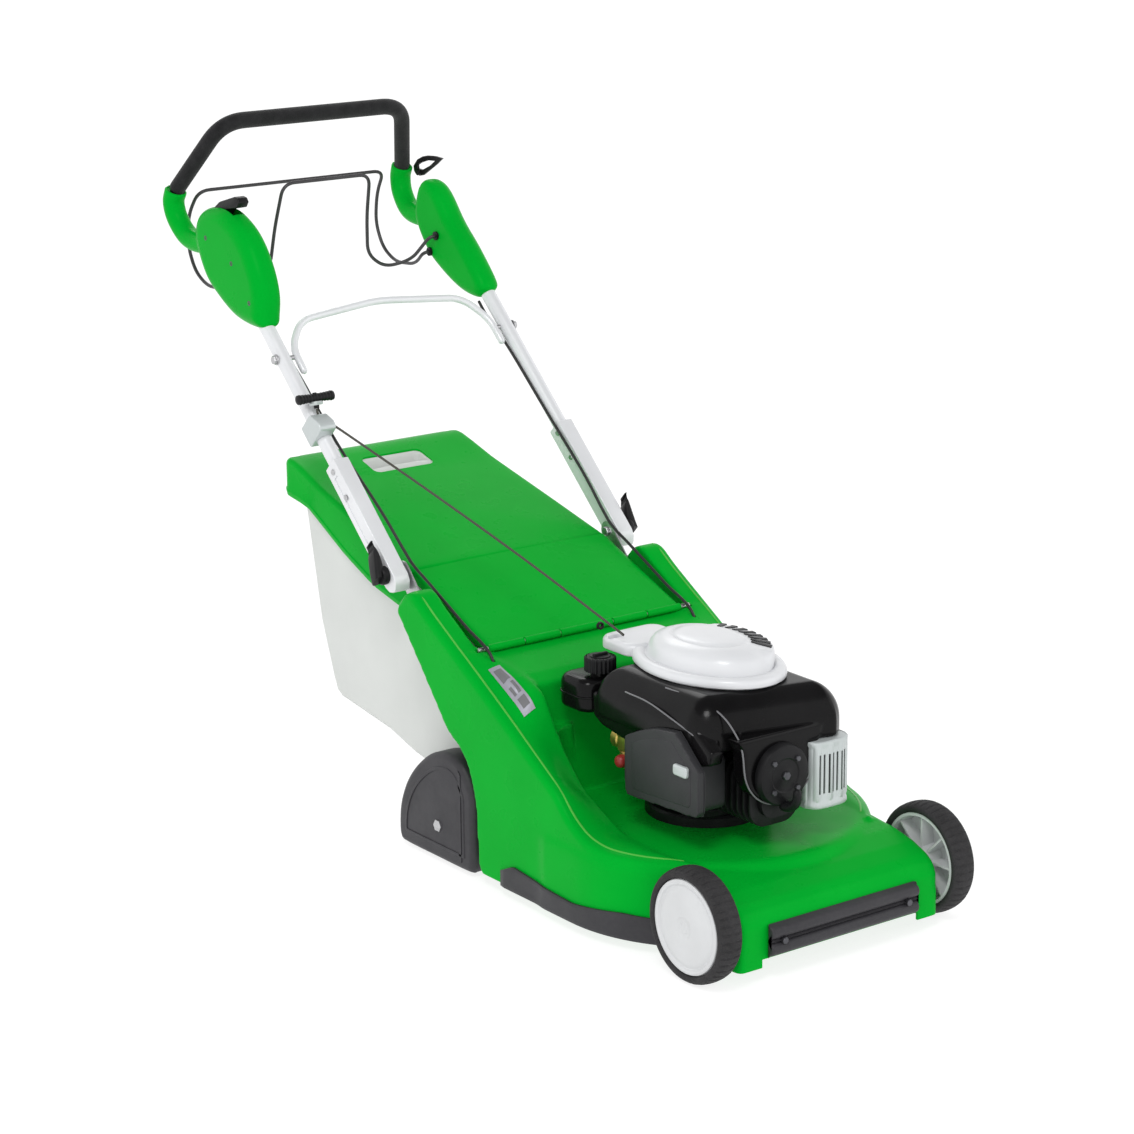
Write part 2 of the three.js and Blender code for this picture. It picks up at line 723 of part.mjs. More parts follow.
function rollerCover() {
  const dome = [
    [516, 12],
    [516, 130],
    [552, 183],
    [585, 186],
    [625, 178],
    [665, 152],
    [700, 112],
    [722, 70],
    [724, 12],
    [705, 6],
    [530, 6],
  ];
  const room = [
    [519, 0],
    [519, 128],
    [554, 179],
    [584, 182],
    [623, 174],
    [662, 149],
    [697, 110],
    [718, 69],
    [720, 0],
  ];
  const shell = cut(prism("x", dome, -244, -206), prism("x", room, -240.5, -200));
  const boss = bar("x", ROLLER_Y, ROLLER_R, 15, -241, -207, 20);
  return cut(union(shell, boss), bar("x", ROLLER_Y, ROLLER_R, 8.3, -236, -200, 20));
}

function heightLever() {
  const [y, z] = [440, 190];
  const outline = [
    [y - 12, z - 8],
    [y + 12, z - 8],
    [y + 62, z + 104],
    [y + 44, z + 110],
  ];
  const blade = prism("x", outline, HORN_OUT + 0.4, HORN_OUT + 4.4);
  const boss = bar("x", y, z, 14, HORN_OUT + 0.4, HORN_OUT + 7, 18);
  const knob = bar("x", y + 53, z + 104, 14, HORN_OUT + 3, HORN_OUT + 13, 16);
  return union(blade, boss, knob);
}

add("front_axle", frontAxle(), DARK_STEEL);
add("tyre_right", tyre(), TYRE);
add("hub_right", hub(), HUB_GREY);
add("tyre_left", mirrored(tyre()), TYRE);
add("hub_left", mirrored(hub()), HUB_GREY);
add("roller_right", mirrored(rollerDrum()), DARK);
add("roller_left", rollerDrum(), DARK);
add("roller_frame", rollerFrame(), DARK_STEEL);
addPair("roller_cover", rollerCover(), DARK);
add("height_lever", heightLever(), BLACK);

// ---------------------------------------------------------------- grass box
const BOX_FRONT = 566;
const LID_TOP = [
  [750, 434],
  [872, 467],
  [1043, 512],
  [1120, 538],
  [1144, 541],
  [1164, 529],
];
const LID_LOW = [
  [1150, 478],
  [1078, 470],
  [959, 415],
  [871, 383],
  [791, 368],
  [752, 362],
];

function taper(frontHalf, rearHalf, y0, y1) {
  return prism("z", [[-frontHalf, y0], [frontHalf, y0], [rearHalf, y1], [-rearHalf, y1]], 50, 700);
}

function boxBody() {
  const outline = [
    [BOX_FRONT, 196],
    [640, 139],
    [732, 113],
    [853, 141],
    [1010, 161],
    [1060, 280],
    [1100, 470],
    [1070, 508],
    [872, 456],
    [760, 424],
    [BOX_FRONT, 344],
  ];
  const room = [
    [BOX_FRONT - 10, 202],
    [643, 142],
    [732, 116],
    [853, 144],
    [1007, 164],
    [1057, 281],
    [1097, 470],
    [1090, 560],
    [BOX_FRONT - 10, 560],
  ];
  const outer = prism("x", outline, -190, 190).intersect(taper(182, 170, BOX_FRONT, 1100));
  const inner = prism("x", room, -190, 190).intersect(taper(179, 167, BOX_FRONT - 20, 1097));
  return cut(outer, inner);
}

function boxLid() {
  const inside = [
    [740, 300],
    [740, 428],
    [872, 464],
    [1042, 509],
    [1119, 535],
    [1141, 537],
    [1160, 527],
    [1146, 440],
    [1060, 300],
  ];
  const outer = prism("x", [...LID_TOP, ...LID_LOW], -200, 200).intersect(taper(190, 172, 748, 1166));
  const inner = prism("x", inside, -200, 200).intersect(taper(187, 169, 740, 1161));
  const grip = prism("z", roundedBox(0, 1066, 132, 62, 12), 480, 560);
  return cut(outer, inner, grip);
}

function boxHandle() {
  const tray = prism("z", roundedBox(0, 1066, 131, 61, 11.7), 494, 514);
  const room = prism("z", roundedBox(0, 1066, 125, 55, 9), 497, 560);
  const rim = prism("z", roundedBox(0, 1066, 131, 61, 11.7), 513, 519);
  const grip = bar("x", 1050, 520, 9, -64, 64, 14);
  return union(cut(union(tray, rim), room), grip);
}

add("box_body", boxBody(), BOX_GREY);
add("box_lid", boxLid(), GREEN);
add("box_handle", boxHandle(), WHITE);

// ---------------------------------------------------------------- handle
const ARM_LENGTH = 215;
const TUBE_START = 130;
const TUBE_END = 571;

function handleArm() {
  const corner = (along, across) => onTube(0, along, across).slice(1);
  const outline = [
    corner(ARM_LENGTH, -17),
    corner(ARM_LENGTH, 17),
    corner(-16, 17),
    corner(-28, 12),
    corner(-33, 0),
    corner(-28, -12),
    corner(-16, -17),
  ];
  const body = prism("x", outline, -HANDLE_X - 14, -HANDLE_X + 14);
  const socket = between(onTube(-HANDLE_X, 60), onTube(-HANDLE_X, ARM_LENGTH + 5), TUBE_R + GAP, 20);
  return cut(body, socket, bar("x", FOLD.y, FOLD.z, 5.3, -250, -190, 16));
}

function upperTube() {
  const body = between(onTube(-HANDLE_X, TUBE_START), onTube(-HANDLE_X, TUBE_END), TUBE_R, 20);
  const bore = between(onTube(-HANDLE_X, TUBE_START - 5), onTube(-HANDLE_X, TUBE_END + 5), TUBE_R - 2, 20);
  const [, y, z] = onTube(0, 426);
  return cut(body, bore, bar("x", y, z, 4.3, -250, -190, 12));
}

function clampLever() {
  const bolt = bar("x", FOLD.y, FOLD.z, 5, -HANDLE_X - 16, -198, 16);
  const head = bar("x", FOLD.y, FOLD.z, 14, -HANDLE_X - 26, -HANDLE_X - 14 - GAP, 20);
  const cam = union(bolt, head);
  const [a, b] = [onTube(0, -4, -9), onTube(0, 50, 22)];
  const blade = prism(
    "x",
    [[a[1], a[2]], [b[1] + 8, b[2] - 6], [b[1] - 4, b[2] + 10], [a[1] - 8, a[2] + 22]],
    -HANDLE_X - 38,
    -HANDLE_X - 25,
  );
  return union(cam, blade);
}

function crossbar() {
  const [, y, z] = onTube(0, 426);
  const bend = [
    [-196, y - 22, z - 19],
    [-195, y + 12, z + 14],
    [-160, 1108, 776],
    [0, 1124, 788],
    [160, 1108, 776],
    [195, y + 12, z + 14],
    [196, y - 22, z - 19],
  ];
  const rail = tube(roundedPath(bend, 30), 6, { sides: 8, steps: 32 });
  const bolt = union(bar("x", y, z, 4, -238, -192, 10), bar("x", y, z, 7, -241, -HANDLE_X - TUBE_R - 1, 6));
  return union(rail, bolt, mirrored(bolt));
}

const ARM_PATH = [
  [-222, 1256, 904],
  [-222, 1304, 886],
  [-223, 1350, 890],
  [-226, 1380, 916],
  [-228, 1389, 944],
  [-227, 1381, 965],
];
const GRIP_LINE = [
  [-229, 1388, 948],
  [-227, 1381, 965],
  [-178, 1304, 1082],
  [178, 1304, 1082],
  [227, 1381, 965],
  [229, 1388, 948],
];
const GRIP_BEND = 42;
const gripPath = () => roundedPath(GRIP_LINE, GRIP_BEND);

function gripFoam() {
  const path = roundedPath(GRIP_LINE.slice(1, -1), GRIP_BEND);
  return tube(path, GRIP_R, { sides: 8, steps: 24, bore: GRIP_BAR_R + 1.8 });
}

const POD_RIGHT = [
  [1108, 770],
  [1096, 792],
  [1094, 828],
  [1108, 868],
  [1136, 908],
  [1172, 936],
  [1220, 953],
  [1275, 947],
  [1300, 924],
  [1302, 886],
  [1274, 834],
  [1232, 802],
  [1176, 776],
];
const POD_LEFT = [
  [1112, 776],
  [1107, 796],
  [1156, 850],
  [1202, 892],
  [1236, 932],
  [1260, 950],
  [1284, 952],
  [1302, 930],
  [1308, 884],
  [1274, 832],
  [1232, 802],
  [1176, 776],
  [1130, 768],
];
function console(outline) {
  const pod = prism("x", outline, -246, -198);
  const neck = tube(curve(ARM_PATH), 19, { sides: 12, steps: 12 });
  const bore = between(onTube(-HANDLE_X, 400), onTube(-HANDLE_X, TUBE_END + 4), TUBE_R + GAP, 20);
  const socket = tube(gripPath(), GRIP_BAR_R + 1, { sides: 8, steps: 40 });
  const mouth = between([-228.5, 1384, 960], [-209, 1352, 1009], GRIP_R + 1.2, 12);
  const pivot = ({ y, z }) => bar("x", y, z, WIRE_R + GAP, -216, -190, 12);
  return cut(union(pod, neck), bore, socket, mouth, pivot(STOP_BAIL), pivot(DRIVE_BAIL));
}

const CONTROL_SLOT = box(-229, -205, 1196, 1262, 934, 970);
function speedLever() {
  const wedge = [
    [1252, 938],
    [1258, 952],
    [1240, 962],
    [1192, 974],
    [1178, 966],
    [1184, 958],
    [1216, 952],
    [1234, 938],
  ];
  return prism("x", wedge, -227, -207);
}

function throttleLever() {
  const leaf = [
    [1368, 950],
    [1374, 964],
    [1362, 976],
    [1330, 986],
    [1284, 986],
    [1312, 968],
    [1344, 950],
  ];
  const hole = [
    [1361, 960],
    [1362, 966],
    [1352, 971],
    [1328, 978],
    [1306, 979],
    [1322, 969],
    [1346, 959],
  ];
  return prism("x", leaf, 246, 250, hole);
}

function stopBail() {
  const half = [
    [-212, STOP_BAIL.y, STOP_BAIL.z],
    [-184, STOP_BAIL.y, STOP_BAIL.z],
    [-190, 1291, 806],
    [-190, 1352, 802],
    [-190, 1392, 822],
    [-190, 1415, 864],
    [-190, 1408, 916],
    [-186, 1378, 960],
  ];
  const rest = half.map(([x, y, z]) => [-x, y, z]).reverse();
  return tube(roundedPath([...half, ...rest], 22), WIRE_R, { sides: 6, steps: 72 });
}

function driveBail() {
  const half = [
    [-212, DRIVE_BAIL.y, DRIVE_BAIL.z],
    [-184, DRIVE_BAIL.y, DRIVE_BAIL.z],
    [-176, 1282, 816],
    [-132, 1300, 806],
    [-98, 1300, 832],
    [-92, 1290, 900],
    [-86, 1268, 975],
  ];
  const rest = half.map(([x, y, z]) => [-x, y, z]).reverse();
  return tube(roundedPath([...half, ...rest], 22), WIRE_R, { sides: 6, steps: 64 });
}

function ropeGuide() {
  const corner = (along, across) => onTube(0, along, across).slice(1);
  const outline = [corner(262, -19), corner(262, 30), corner(276, 33), corner(296, 24), corner(300, -19)];
  const block = prism("x", outline, -242, -209.5);
  const sleeve = between(onTube(-HANDLE_X, 240), onTube(-HANDLE_X, 320), TUBE_R + GAP, 20);
  const eye = tube(curve(ROPE_ROUTE), ROPE_R + 1.2, { sides: 6, steps: 36 });
  const seat = between(STARTER_SEAT, offset(STARTER_SEAT, [PULL, -24]), 6, 12);
  return cut(block, sleeve, eye, seat);
}

const PULL = [0, 0.25, 0.9682];
function starterHandle() {
  const [x, y, z] = STARTER_SEAT;
  const grip = bar("x", y, z, 7.5, x - 34, x + 34, 14);
  return union(grip, between(STARTER_SEAT, offset(STARTER_SEAT, [PULL, -17]), 4.5, 12));
}

const ROPE_ROUTE = [
  ROPE_EXIT,
  [-66, 388, 402],
  [-109, 550, 478],
  [-156, 730, 555],
  [-200, 900, 624],
  [-212, 942, 641],
  [-221, 960, 652],
  offset(STARTER_SEAT, [PULL, -18]),
];

function controlCable() {
  const route = [
    [-207.5, 1124, 762],
    [-205.2, 1098, 742],
    onTube(-205.2, 380, -2),
    onTube(-205.2, 250, 4),
    onTube(-200, 110, 18),
    onTube(-CABLE_X - 1, 30, 20),
    [-CABLE_X, 735, 447],
    [-CABLE_X, 690, 426],
    [-CABLE_X, 640, 402],
    [-CABLE_X, 590, 378],
    [-CABLE_X, 552, 363.5],
    [-CABLE_X, 530, 351],
    [-CABLE_X, 522, 338],
    [-CABLE_X, 522, 324],
  ];
  return tube(curve(route), CABLE_R, { sides: 6, steps: 44 });
}

addPair("handle_arm", handleArm(), WHITE);
addPair("handle_tube", upperTube(), WHITE);
addPair("clamp_lever", clampLever(), BLACK);
add("crossbar", crossbar(), WHITE);
add("console_right", cut(console(POD_RIGHT), CONTROL_SLOT), GREEN);
add("console_left", mirrored(console(POD_LEFT)), GREEN);
add("grip_bar", tube(gripPath(), GRIP_BAR_R, { sides: 8, steps: 30 }), DARK_STEEL);
add("grip_foam", gripFoam(), FOAM);
add("stop_bail", stopBail(), DARK_STEEL);
add("drive_bail", driveBail(), DARK_STEEL);
add("speed_lever", speedLever(), BLACK);
add("throttle_lever", throttleLever(), BLACK);
add("rope_guide", ropeGuide(), WHITE);
add("starter_handle", starterHandle(), BLACK);
add("starter_rope", tube(curve(ROPE_ROUTE), ROPE_R, { sides: 8, steps: 36 }), CORD);
addPair("control_cable", controlCable(), BLACK);

export default machine;
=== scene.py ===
import math
from contextlib import contextmanager

import bmesh
import bpy
import numpy as np
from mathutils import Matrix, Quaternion, Vector


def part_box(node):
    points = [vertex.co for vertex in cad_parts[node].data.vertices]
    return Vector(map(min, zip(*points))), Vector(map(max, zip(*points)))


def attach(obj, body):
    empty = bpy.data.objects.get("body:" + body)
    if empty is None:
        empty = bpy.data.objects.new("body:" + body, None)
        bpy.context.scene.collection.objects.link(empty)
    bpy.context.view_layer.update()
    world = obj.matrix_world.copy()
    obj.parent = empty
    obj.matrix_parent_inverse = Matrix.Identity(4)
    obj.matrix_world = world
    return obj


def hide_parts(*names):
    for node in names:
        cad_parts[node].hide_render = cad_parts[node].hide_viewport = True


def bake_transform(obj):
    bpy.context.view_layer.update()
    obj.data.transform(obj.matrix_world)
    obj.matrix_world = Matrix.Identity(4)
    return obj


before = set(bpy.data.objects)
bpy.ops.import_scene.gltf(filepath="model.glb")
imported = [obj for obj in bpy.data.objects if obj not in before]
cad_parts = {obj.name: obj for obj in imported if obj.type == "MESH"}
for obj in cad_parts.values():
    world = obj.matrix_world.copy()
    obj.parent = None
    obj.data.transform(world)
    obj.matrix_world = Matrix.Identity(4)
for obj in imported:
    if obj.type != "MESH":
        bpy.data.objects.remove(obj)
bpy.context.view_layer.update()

# Shapes below are in millimetres: X to the mower's left, Y backwards from the front wheels' axis,
# Z up from the ground. to_frame() turns them into metres in the model's frame. Outlines are given
# in the two directions that the axis of their piece leaves free.
MM = 0.001
WHEEL_LOW, WHEEL_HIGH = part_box("tyre_right")
AXLE_Y = (WHEEL_LOW.y + WHEEL_HIGH.y) / 2
WHEEL_R = (WHEEL_HIGH.z - WHEEL_LOW.z) / 2 / MM
WHEEL_X = -(WHEEL_LOW.x + WHEEL_HIGH.x) / 2 / MM
HANDLE_TILT = math.atan(0.946)
ALONG = np.array([0, math.cos(HANDLE_TILT), math.sin(HANDLE_TILT)])
ACROSS = np.array([0, -math.sin(HANDLE_TILT), math.cos(HANDLE_TILT)])
FOLD = np.array([0, 755, 434])
HANDLE_X = 221
SIDES = (("right", -1), ("left", 1))
CRANK_Y = 250
DECK_RIM = 20.5
FLAP_PIN = (548, 354)
ROLLER_AXLE = (610, 62.5)


def to_frame(points):
    return np.asarray(points, float) * MM + (0, AXLE_Y, 0)


def frame_point(x, y, z):
    return Vector(to_frame([x, y, z]))


# ---------------------------------------------------------------- camera
TARGET = Vector((-0.0288, -0.1080, 0.4542))
DISTANCE = 4.8535
AZIMUTH, ELEVATION, ROLL = (math.radians(a) for a in (-36.3937, 15.3339, -0.542))
LENS, SENSOR = 99.49, 36


def add_camera():
    back = Vector((
        math.sin(AZIMUTH) * math.cos(ELEVATION),
        -math.cos(AZIMUTH) * math.cos(ELEVATION),
        math.sin(ELEVATION),
    ))
    data = bpy.data.cameras.new("camera")
    data.lens, data.sensor_width, data.sensor_fit = LENS, SENSOR, "HORIZONTAL"
    camera = bpy.data.objects.new("camera", data)
    camera.rotation_mode = "QUATERNION"
    camera.location = TARGET + back * DISTANCE
    level = (-back).to_track_quat("-Z", "Y")
    camera.rotation_quaternion = Quaternion(back, ROLL) @ level
    bpy.context.scene.collection.objects.link(camera)
    bpy.context.scene.camera = camera


add_camera()


# ---------------------------------------------------------------- mesh tools
def link(name, mesh):
    piece = bpy.data.objects.new(name, mesh)
    bpy.context.scene.collection.objects.link(piece)
    return piece


@contextmanager
def editing(mesh):
    bm = bmesh.new()
    bm.from_mesh(mesh)
    yield bm
    bm.to_mesh(mesh)
    bm.free()


def raw(name, points, faces):
    """A mesh object from points in millimetres."""
    mesh = bpy.data.meshes.new(name)
    mesh.from_pydata(to_frame(points).tolist(), [], [tuple(map(int, f)) for f in faces])
    with editing(mesh) as bm:
        bmesh.ops.remove_doubles(bm, verts=bm.verts, dist=1e-6)
        bmesh.ops.recalc_face_normals(bm, faces=bm.faces)
    return link(name, mesh)


def bake(piece):
    """Applies a piece's modifiers."""
    graph = bpy.context.evaluated_depsgraph_get()
    mesh = bpy.data.meshes.new_from_object(piece.evaluated_get(graph))
    piece.modifiers.clear()
    piece.data = mesh
    return piece


def modify(piece, kind, **settings):
    modifier = piece.modifiers.new(kind.lower(), kind)
    for key, value in settings.items():
        setattr(modifier, key, value)
    return modifier


def bevel(piece, width, segments=3, angle=32):
    modify(piece, "BEVEL", width=width * MM, segments=segments, limit_method="ANGLE",
           angle_limit=math.radians(angle), harden_normals=False)
    return bake(piece)


def carve(piece, *tools, operation="DIFFERENCE", solver="MANIFOLD"):
    for tool in tools:
        modify(piece, "BOOLEAN", object=tool, operation=operation, solver=solver)
        bake(piece)
        bpy.data.objects.remove(tool)
    return piece


def join(name, *parts):
    mesh = bpy.data.meshes.new(name)
    with editing(mesh) as bm:
        for part in parts:
            bm.from_mesh(part.data)
    for part in parts:
        bpy.data.objects.remove(part)
    return link(name, mesh)


def melt(piece, voxel, rounds):
    """One smooth skin over overlapping closed shapes, with its creases softened."""
    modify(piece, "REMESH", mode="VOXEL", voxel_size=voxel * MM)
    modify(piece, "SMOOTH", factor=0.5, iterations=rounds)
    return bake(piece)


def thicken(piece, thickness, offset=0):
    modify(piece, "SOLIDIFY", thickness=thickness * MM, offset=offset)
    return bake(piece)


def mirrored(piece):
    """The piece turned into its own mirror image across the machine's middle."""
    with editing(piece.data) as bm:
        for vert in bm.verts:
            vert.co.x = -vert.co.x
        bmesh.ops.reverse_faces(bm, faces=bm.faces)
    return piece


def span(sign, near, far):
    """Two distances from the middle, on the side that sign says, as places along X."""
    return sorted((sign * near, sign * far))


def area(outline):
    return sum(a * d - b * c for (a, b), (c, d) in zip(outline, outline[1:] + outline[:1])) / 2


def anticlockwise(outline):
    return outline[::-1] if area(outline) < 0 else outline


def arc(cx, cy, radius, start, end, steps):
    angles = np.radians(np.linspace(start, end, steps + 1))
    return [(cx + radius * math.cos(a), cy + radius * math.sin(a)) for a in angles]


def rounded_box(cx, cy, width, height, radius, steps=6):
    w, h = width / 2 - radius, height / 2 - radius
    return [
        *arc(cx + w, cy + h, radius, 0, 90, steps),
        *arc(cx - w, cy + h, radius, 90, 180, steps),
        *arc(cx - w, cy - h, radius, 180, 270, steps),
        *arc(cx + w, cy - h, radius, 270, 360, steps),
    ]


def smooth_line(points, per=6, closed=False):
    """Catmull-Rom points through the given ones."""
    p = np.asarray(points, float)
    count = len(p)
    out = []
    for i in range(count if closed else count - 1):
        if closed:
            a, b, c, d = p[i - 1], p[i], p[(i + 1) % count], p[(i + 2) % count]
        else:
            b, c = p[i], p[i + 1]
            a = p[i - 1] if i else 2 * b - c
            d = p[i + 2] if i + 2 < count else 2 * c - b
        for t in np.arange(per) / per:
            out.append(0.5 * (2 * b + (c - a) * t + (2 * a - 5 * b + 4 * c - d) * t * t
                              + (3 * b - a - 3 * c + d) * t ** 3))
    if not closed:
        out.append(p[-1])
    return np.array(out)


def smooth_outline(corners, per):
    return [tuple(point) for point in smooth_line(corners, per, closed=True)]


def dense_outline(outline, step):
    """The same closed outline with extra points along its sides, about one step apart."""
    dense = []
    for (a, b), (c, d) in zip(outline, [*outline[1:], outline[0]]):
        steps = max(1, int(math.hypot(c - a, d - b) / step))
        dense += [(a + (c - a) * i / steps, b + (d - b) * i / steps) for i in range(steps)]
    return dense


def evenly(path, count):
    """The same path with its points at equal distances."""
    travel = np.concatenate([[0], np.cumsum(np.linalg.norm(np.diff(path, axis=0), axis=1))])
    even = np.linspace(0, travel[-1], count)
    return np.stack([np.interp(even, travel, column) for column in path.T], 1)


def rounded_line(points, radius, steps=8):
    """A straight-sided path whose corners are rounded by the given reach."""
    p = np.asarray(points, float)
    out = [p[0]]
    for before, corner, after in zip(p, p[1:], p[2:]):
        a, b = before - corner, after - corner
        reach = min(radius, np.linalg.norm(a) / 2.2, np.linalg.norm(b) / 2.2)
        enter = corner + a / np.linalg.norm(a) * reach
        leave = corner + b / np.linalg.norm(b) * reach
        for t in np.linspace(0, 1, steps + 1):
            out.append((1 - t) ** 2 * enter + 2 * t * (1 - t) * corner + t * t * leave)
    out.append(p[-1])
    return np.array(out)


AXIS_ORDER = {"x": (2, 0, 1), "y": (0, 2, 1), "z": (0, 1, 2)}


def placed(axis, a, b, depth):
    """The point whose outline numbers are a, b and whose place along the axis is depth."""
    values = (a, b, depth)
    return [values[i] for i in AXIS_ORDER[axis]]


def loft(name, rings, closed=True, caps=True, looped=False):
    """A skin over rings of points. Closed rings run round, caps close its two ends, and a
    looped skin joins its last ring to its first."""
    rings = np.asarray(rings, float)
    count, size = rings.shape[:2]
    faces = []
    for i in range(count if looped else count - 1):
        after = (i + 1) % count
        for j in range(size if closed else size - 1):
            k = (j + 1) % size
            faces.append((i * size + j, i * size + k, after * size + k, after * size + j))
    if caps and not looped:
        faces.append(tuple(range(size))[::-1])
        faces.append(tuple((count - 1) * size + j for j in range(size)))
    return raw(name, rings.reshape(-1, 3), faces)


def sheet(name, rows, thickness, offset=0):
    """A thin plate over rows of points."""
    return thicken(loft(name, rows, closed=False, caps=False), thickness, offset)


def prism(name, axis, outline, start, end):
    """A flat outline drawn out along an axis."""
    return loft(name, [[placed(axis, a, b, depth) for a, b in outline] for depth in (start, end)])


def inset(outline, by):
    """A closed outline moved inwards (counter-clockwise outlines) by a distance."""
    p = np.asarray(outline, float)
    step = np.roll(p, -1, 0) - np.roll(p, 1, 0)
    step /= np.linalg.norm(step, axis=1)[:, None]
    return p + np.stack([-step[:, 1], step[:, 0]], 1) * by


def shrinkable(outline, centre, count=200):
    """The outline as a function of how far it is moved inwards, seen around its centre."""
    dense = np.array(dense_outline(outline, 1)) - centre
    order = np.argsort(np.arctan2(dense[:, 1], dense[:, 0]))
    bearing = np.arctan2(dense[order, 1], dense[order, 0])
    span = np.hypot(dense[order, 0], dense[order, 1])
    angles = np.linspace(-math.pi, math.pi, count, endpoint=False)
    edge = np.interp(angles, bearing, span, period=2 * math.pi)
    rays = np.stack([np.cos(angles), np.sin(angles)], 1)

    def moved(by):
        low, high = np.zeros(count), edge.copy()
        for _ in range(14 if by > 0 else 0):
            middle = (low + high) / 2
            spots = rays * middle[:, None]
            gap = np.min(np.linalg.norm(spots[:, None] - dense[None], axis=2), axis=1)
            low, high = np.where(gap >= by, middle, low), np.where(gap >= by, high, middle)
        radii = edge if by <= 0 else (low + high) / 2
        return [tuple(point) for point in rays * radii[:, None] + centre]

    return moved


def pillow(name, axis, outline, start, end, low=0.0, high=0.0, steps=6, centre=None):
    """A prism whose two rims are rounded by the radii low and high."""
    stations = []
    for i in range(steps + 1):
        angle = math.pi / 2 * i / steps
        if low:
            stations.append((start + low * (1 - math.sin(angle)), low * (1 - math.cos(angle))))
    stations = stations[::-1] if low else [(start, 0)]
    if high:
        for i in range(steps + 1):
            angle = math.pi / 2 * i / steps
            stations.append((end - high * (1 - math.sin(angle)), high * (1 - math.cos(angle))))
    else:
        stations.append((end, 0))
    moved = shrinkable(outline, centre) if centre else lambda by: inset(outline, by)
    return loft(name, [[placed(axis, a, b, depth) for a, b in moved(by)] for depth, by in stations])


def turned(name, axis, profile, a, b, steps=64, offset=0.0):
    """A closed profile of (radius, height) turned about the axis through (a, b)."""
    rings = []
    for i in range(steps):
        angle = 2 * math.pi * (i + 0.5) / steps
        c, s = math.cos(angle), math.sin(angle)
        rings.append([placed(axis, a + r * c, b + r * s, h + offset) for r, h in profile])
    return loft(name, rings, looped=True)


def disc(name, axis, profile, a, b, steps=64):
    """Like turned, for a profile that starts and ends on the axis."""
    rings = []
    for r, h in profile[1:-1]:
        ring = []
        for i in range(steps):
            angle = 2 * math.pi * i / steps
            ring.append(placed(axis, a + r * math.cos(angle), b + r * math.sin(angle), h))
        rings.append(ring)
    count = len(rings)
    points = np.concatenate([
        np.array(rings).reshape(-1, 3),
        [placed(axis, a, b, profile[0][1]), placed(axis, a, b, profile[-1][1])],
    ])
    faces = []
    for i in range(steps):
        k = (i + 1) % steps
        faces.append((count * steps, k, i))
        for j in range(count - 1):
            faces.append((j * steps + i, j * steps + k, (j + 1) * steps + k, (j + 1) * steps + i))
        faces.append((count * steps + 1, (count - 1) * steps + i, (count - 1) * steps + k))
    return raw(name, points, faces)


def bar(name, axis, a, b, radius, start, end, chamfer=0.8, steps=40):
    """A solid round bar with chamfered ends."""
    c = min(chamfer, radius / 2)
    profile = [(0, start), (radius - c, start), (radius, start + c), (radius, end - c),
               (radius - c, end), (0, end)]
    return disc(name, axis, profile, a, b, steps)


def frames_along(path):
    """Two directions across the path at each point, carried along it without twist."""
    tangents = np.gradient(path, axis=0)
    tangents /= np.linalg.norm(tangents, axis=1)[:, None]
    seed = np.eye(3)[np.argmin(abs(tangents[0]))]
    side = np.cross(tangents[0], seed)
    side /= np.linalg.norm(side)
    sides = []
    for tangent in tangents:
        side = side - tangent * side.dot(tangent)
        side /= np.linalg.norm(side)
        sides.append(side)
    sides = np.array(sides)
    return sides, np.cross(tangents, sides)


def tube(name, path, radius, sides=16, dome=False):
    """A round rod along a path. Radius may be one number or one for each point."""
    path = np.asarray(path, float)
    radii = np.broadcast_to(np.asarray(radius, float), len(path)).copy()
    across, up = frames_along(path)
    turn = np.linspace(0, 2 * math.pi, sides, endpoint=False)
    rings = [
        p + r * (np.outer(np.cos(turn), a) + np.outer(np.sin(turn), u))
        for p, r, a, u in zip(path, radii, across, up)
    ]
    if dome:
        out0, out1 = path[0] - path[1], path[-1] - path[-2]
        out0, out1 = out0 / np.linalg.norm(out0), out1 / np.linalg.norm(out1)
        start, end = [], []
        for angle in (30, 60, 80):
            c, s = math.cos(math.radians(angle)), math.sin(math.radians(angle))
            start.insert(0, path[0] + (rings[0] - path[0]) * c + out0 * radii[0] * s)
            end.append(path[-1] + (rings[-1] - path[-1]) * c + out1 * radii[-1] * s)
        rings = start + rings + end
    return loft(name, rings)


def on_tube(x, along, across=0.0):
    """A place on the handle, by its distances along and across the tubes from the fold bolt."""
    return FOLD + (x, 0, 0) + ALONG * along + ACROSS * across


def finish(piece, body, material, replaces=None, angle=35):
    """Smooth shading, material, and what the piece rides on and stands for."""
    piece.data.shade_smooth()
    piece.data.set_sharp_from_angle(angle=math.radians(angle))
    piece.data.materials.clear()
    piece.data.materials.append(material)
    if body:
        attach(piece, body)
    if replaces:
        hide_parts(replaces)
    return piece


# ---------------------------------------------------------------- materials
def wired(node, **inputs):
    """Sets a shader node's inputs. Another node's output is linked; anything else is a constant."""
    for name, value in inputs.items():
        socket = node.inputs[name.replace("_", " ")]
        if isinstance(value, bpy.types.NodeSocket):
            node.id_data.links.new(value, socket)
        else:
            socket.default_value = value
    return node


def mixed(nodes, factor, first, second):
    mix = nodes.new("ShaderNodeMix")
    mix.data_type = "RGBA"
    return wired(mix, Factor=factor, A=first, B=second).outputs["Result"]


